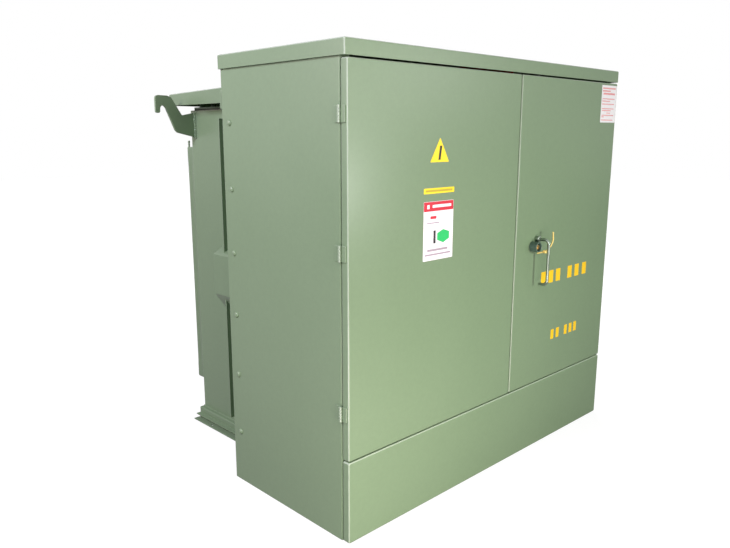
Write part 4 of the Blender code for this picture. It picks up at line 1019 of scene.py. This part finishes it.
# %% Drain valve
DRAIN_MM = [(-120, 10), (0, 10), (0, 22), (10, 22), (12, 20), (28, 20), (32, 24), (60, 24), (66, 18),
            (80, 17), (84.5, 15), (84.5, 5.5), (50, 5.4)]
WHEEL_HUB_MM = [(43, 5), (85.6, 5), (85.6, 10), (96, 10), (97.5, 8.5)]
WHEEL_RADIUS = 31 * MM
RIM_RADIUS = 5 * MM
SPOKES = 5
centre = node_centre("drain_valve_wheel")
mouth = (centre[0], SEAT - 42.5 * MM)
outlet = turned("z", mouth, lathe_mm(centre[1], [(-8, 15), (-40, 15), (-42, 17), (-50, 17)]), 32)
plug = hex_head("z", mouth, centre[1] - 50 * MM, centre[1] - 60 * MM, 22 * MM)
wrench_face = hex_head("y", centre, SEAT - 10 * MM, SEAT - 1 * MM, 46 * MM)
body = join(off_wall(centre, DRAIN_MM, 40), outlet, plug, wrench_face)
dress("drain_valve_turned", body, "root", BRASS, ["drain_valve_body"])

wheel = Vector((centre[0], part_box("drain_valve_wheel")[0].y + 6 * MM, centre[1]))
rings = []
for t in [2 * math.pi * i / 48 for i in range(48)]:
    outward = Vector((math.cos(t), 0, math.sin(t)))
    around = [2 * math.pi * i / 14 for i in range(14)]
    rings.append([wheel + WHEEL_RADIUS * outward
                  + RIM_RADIUS * (math.cos(b) * outward + math.sin(b) * Vector((0, 1, 0))) for b in around])
shapes = [loft(rings, closed=True)]
for k in range(SPOKES):
    a = 2 * math.pi * k / SPOKES + 0.3
    tip = wheel + 29 * MM * Vector((math.cos(a), 0, math.sin(a)))
    shapes.append(drawn([wheel, tip], 3.2 * MM, 12))
shapes.append(off_wall(centre, WHEEL_HUB_MM, 32))
dress("drain_wheel_cast", join(*shapes), "drain_wheel", STEEL, ["drain_valve_wheel"])
print("drain valve at", centre)

# %% Switch and tap changer levers
LEVER_HUB_MM = [(-120, 10), (0, 10), (0, 25), (1, 26), (14, 26), (16, 24), (30, 23), (34, 20), (34, 8),
                (31, 7), (31, 0.3)]
ARM_HALF = 9 * MM
for node, body_name, length in (("switch_handle", "switch", 120), ("tap_changer_handle", "tap_changer", 70)):
    x, _, z = JOINTS[f"{body_name}_turn"]
    end = z - length * MM
    outline = [(x - ARM_HALF, z), (x - ARM_HALF, end), (x + ARM_HALF, end), (x + ARM_HALF, z)]
    outline = fillet(outline, 8.5 * MM, steps=8)
    eye = turned("y", (x, end + 10 * MM), lathe_mm(SEAT, [(-40, 5), (0, 5)]), 24)
    arm = cut_away(soften(prism(outline, "y", SEAT - 32 * MM, SEAT - 17 * MM), 1.5 * MM, 50), eye)
    lever = join(off_wall((x, z), LEVER_HUB_MM, 40), arm)
    dress(f"{node}_moulded", lever, body_name, LEVER_YELLOW, [node])
print("levers moulded")

# %% [markdown]
# ## Pieces that keep their solids
# The bulkhead, barrier, core, coils and clamps have the right shape already. They only get a finish.

# %% Finishes for the carried-over solids
kept = {"bulkhead": ENAMEL, "compartment_barrier": BOARD, "core": LAMINATION, "core_clamp_bottom": STEEL,
        "core_clamp_top": STEEL, "coil_a": PAPER, "coil_b": PAPER, "coil_c": PAPER}
for node, finish in kept.items():
    nodes[node].data.materials.clear()
    nodes[node].data.materials.append(finish)
print("kept solids", sorted(kept))

# %% [markdown]
# ## Stickers, stencil marks and the seal
# Blank stickers and plain stencil bars lie on the doors as thin films. A yellow plastic seal is threaded
# round the handle's bar, with its tail standing up.


# %% Stickers
FILM = 0.25 * MM


def film(name, body, finish, outlines_mm, layer=1, corner=2):
    """Thin film on the door face; outlines are in millimetres from the cabinet's left edge and the pad."""
    shapes = []
    for outline in outlines_mm:
        outline = fillet([((u - 845) * MM, v * MM) for u, v in outline], corner * MM)
        shapes.append(prism(outline, "y", FACE - 0.02 * MM, FACE - FILM * layer))
    return dress(name, join(*shapes), body, finish)


def oblong(x0, x1, z0, z1):
    return [(x0, z0), (x1, z0), (x1, z1), (x0, z1)]


triangle = [(383, 1275), (484, 1275), (434, 1358)]
slanted = [(426, 1283), (437, 1283), (445, 1331), (434, 1331)]
green_block = [(428, 1004), (462, 992), (494, 1005), (494, 1030), (460, 1040), (428, 1028)]
header = [oblong(355, 514, 1107, 1140), oblong(390, 422, 1080, 1090)]
header_bars = [oblong(372, 384, 1116, 1130), oblong(400, 502, 1119, 1129)]
grey_bars = [oblong(376, 487, 966, 974), oblong(364, 503, 951, 957), oblong(372, 438, 1064, 1068)]
film("sticker_triangle", "left_door", YELLOW_VINYL, [triangle])
film("sticker_triangle_bar", "left_door", BLACK_INK, [slanted], 2, 1)
film("sticker_strip", "left_door", YELLOW_VINYL, [oblong(353, 517, 1168, 1187)])
film("sticker_strip_bar", "left_door", OCHRE_INK, [oblong(362, 507, 1174, 1181)], 2, 1)
film("sticker_white", "left_door", WHITE_VINYL, [oblong(354, 515, 934, 1141)])
film("sticker_header", "left_door", RED_VINYL, header, 2)
film("sticker_header_bars", "left_door", WHITE_VINYL, header_bars, 3, 1)
film("sticker_green_block", "left_door", GREEN_VINYL, [green_block], 2)
film("sticker_dark_bar", "left_door", BLACK_INK, [oblong(408, 420, 993, 1039)], 2, 1)
film("sticker_grey_bars", "left_door", GREY_INK, grey_bars, 2, 1)
print("stickers on the left door")

# %% Films on the right door, and the seal
film("notice_white", "right_door", WHITE_VINYL, [oblong(1547, 1684, 1420, 1583)])
lines = ((7, 126, 1570, 6), (8, 80, 1558, 6), (15, 122, 1546, 8), (9, 122, 1524, 4), (7, 80, 1514, 4),
         (7, 119, 1501, 4), (9, 119, 1481, 4), (10, 92, 1473, 4), (52, 87, 1462, 4), (9, 119, 1452, 4),
         (9, 31, 1445, 4), (8, 115, 1431, 4))
bars = [oblong(1547 + x0, 1547 + x1, z - high / 2, z + high / 2) for x0, x1, z, high in lines]
film("notice_bars", "right_door", PALE_RED_VINYL, bars, 2, 1)
upper = [oblong(x - 18, x + 18, 735, 790) for x in (1143, 1204, 1262, 1360, 1422, 1488)]
lower = [oblong(x - 12, x + 12, 472, 516) for x in (1240, 1284, 1354, 1396, 1436)]
film("stencil_bars", "right_door", STENCIL, upper + lower)
strap = [(199, -25, 886), (216, -34, 889), (229, -45, 895), (240, -48, 899), (247, -49, 903), (254, -51, 911),
         (260, -53, 920), (266, -54, 931), (267, -55, 939), (266, -55, 953), (264, -55, 972)]
strap = drawn([(x * MM, FACE + y * MM, z * MM) for x, y, z in strap], 2.9 * MM, 12)
lock = block((213 * MM, FACE - 54.5 * MM, 887 * MM), (228 * MM, FACE - 42 * MM, 899 * MM), 1.5 * MM)
dress("seal_strap", join(strap, lock), "handle", SEAL_YELLOW)
print("bars", len(bars), "stencil marks", len(upper + lower))

# %% [markdown]
# ## Floor
# The object stands on a plain pale floor. To the camera and in reflections the floor also glows a little, so
# that it runs into the white behind it and still keeps a soft shadow. The glow sheds no light on the object.

# %% Floor
FLOOR_SIZE = 40
bpy.ops.mesh.primitive_plane_add(size=FLOOR_SIZE, location=(0, 0, -0.4 * MM))
floor = bpy.context.object
floor.name = "floor"
pale = bpy.data.materials.new("pale_floor")
pale.use_nodes = True
tree = pale.node_tree
shader = tree.nodes["Principled BSDF"]
shader.inputs["Base Color"].default_value = colour("#70706E")
shader.inputs["Roughness"].default_value = 0.9
rays = add_node(tree, "LightPath").outputs
dimmed = add_node(tree, "Math", {0: rays["Is Glossy Ray"], 1: 0.3}, operation="MULTIPLY")
seen = add_node(tree, "Math", {0: rays["Is Camera Ray"], 1: dimmed.outputs[0]}, operation="MAXIMUM")
seen = add_node(tree, "Math", {0: seen.outputs[0], 1: rays["Is Transmission Ray"]}, operation="MAXIMUM")
place = add_node(tree, "TexCoord").outputs["Object"]
away = add_node(tree, "VectorMath", {0: place}, operation="LENGTH")
edge = add_node(tree, "MapRange", {"From Min": 1.0, "From Max": 4.0, "To Min": 0.87, "To Max": 1.0,
                                   "Value": away.outputs["Value"]}, interpolation_type="SMOOTHSTEP")
level = add_node(tree, "Math", {0: seen.outputs[0], 1: edge.outputs["Result"]}, operation="MULTIPLY")
glow = add_node(tree, "Emission", {"Color": (1, 1, 1, 1), "Strength": level.outputs[0]})
both = add_node(tree, "AddShader", {0: shader.outputs[0], 1: glow.outputs[0]})
tree.links.new(both.outputs[0], tree.nodes["Material Output"].inputs["Surface"])
floor.data.materials.append(pale)
print("floor", FLOOR_SIZE, "m wide")

# %% [markdown]
# ## Light
# The doors are bright on the left and fall off to the right, so two soft lamps stand close to the left door,
# one at breast height and one near the floor, and a far one adds a sheen on the door's upper left. The
# handle's shadow falls a little to the left and hardly downwards, so a small key lamp stands level with it in
# front. The hinges and screws on the left side cast their shadows down, so the lamp for that side stands
# high. Two more lamps light the tank's side and the back, and a weak sky that is brighter above fills the
# rest. To the camera and in reflections the sky is white.

# %% World
world = bpy.data.worlds.new("studio")
bpy.context.scene.world = world
world.use_nodes = True
tree = world.node_tree
rays = add_node(tree, "LightPath").outputs
seen = add_node(tree, "Math", {0: rays["Is Camera Ray"], 1: rays["Is Glossy Ray"]}, operation="MAXIMUM")
seen = add_node(tree, "Math", {0: seen.outputs[0], 1: rays["Is Transmission Ray"]}, operation="MAXIMUM")
place = add_node(tree, "TexCoord").outputs["Generated"]
height = add_node(tree, "SeparateXYZ", {0: place}).outputs["Z"]
sky = add_node(tree, "MapRange", {"From Min": -0.4, "From Max": 1.0, "To Min": 0.01, "To Max": 0.16,
                                  "Value": height})
level = add_node(tree, "Math", {0: sky.outputs["Result"], 1: seen.outputs[0]}, operation="MAXIMUM")
tint = add_node(tree, "Mix", {"A": colour("#DCE5F3"), "B": (1, 1, 1, 1), "Factor": seen.outputs[0]},
                data_type="RGBA")
back = tree.nodes["Background"]
tree.links.new(tint.outputs["Result"], back.inputs["Color"])
tree.links.new(level.outputs[0], back.inputs["Strength"])
print("world", world.name)


# %% Lamps
def lamp(name, place, target, size, watts, tint="#FFFFFF"):
    data = bpy.data.lights.new(name, "AREA")
    data.shape = "RECTANGLE"
    data.size, data.size_y = size
    data.energy = watts
    data.color = colour(tint)[:3]
    item = bpy.data.objects.new(name, data)
    item.location = place
    item.rotation_euler = (Vector(target) - Vector(place)).to_track_quat("-Z", "Y").to_euler()
    bpy.context.scene.collection.objects.link(item)
    return item


lamp("key", (0.5, -2.7, 1.05), (0.2, -0.7, 0.9), (0.1, 0.1), 23)
lamp("front_glow", (3.2, -4.5, 2.15), (-0.5, -0.7, 1.4), (1.6, 1.0), 30)
lamp("front_left", (-1.25, -1.9, 1.7), (-0.9, -0.7, 1.4), (0.8, 0.8), 17, "#FFF0FF")
lamp("front_low", (-1.0, -1.8, 0.22), (-0.7, -0.7, 0.06), (1.7, 0.4), 25, "#FFECF2")
lamp("left", (-4.0, -0.2, 3.4), (-0.8, 0.0, 0.8), (1.0, 1.0), 172, "#E6DEFF")
lamp("upper_left", (-3.3, 0.75, 2.1), (-0.65, 0.35, 0.9), (0.8, 0.8), 44, "#FFE2F0")
lamp("rear_right", (3.4, 2.8, 3.0), (0.3, 0.1, 0.8), (2.0, 2.0), 140)
bpy.context.scene.view_settings.view_transform = "Standard"
print("lamps", len(bpy.data.lights))

# %% [markdown]
# ## Camera
# A plain lens was fitted to the cabinet's edges. It stands at eye level off the front left corner and looks
# down a little, and a slight shift keeps the framing.

# %% Camera
data = bpy.data.cameras.new("camera")
data.sensor_width = 36
data.lens = 34.28
data.shift_x = 0.0059
data.shift_y = 0.0076
camera = bpy.data.objects.new("camera", data)
yaw, pitch, roll = math.radians(43.831), math.radians(11.849), math.radians(-0.033)
turn = Euler((math.pi / 2 - pitch, 0, -yaw)).to_matrix() @ Matrix.Rotation(roll, 3, "Z")
camera.matrix_world = Matrix.Translation((-2.2941, -2.2895, 1.3710)) @ turn.to_4x4()
bpy.context.scene.collection.objects.link(camera)
bpy.context.scene.camera = camera
print("camera at", tuple(camera.location))
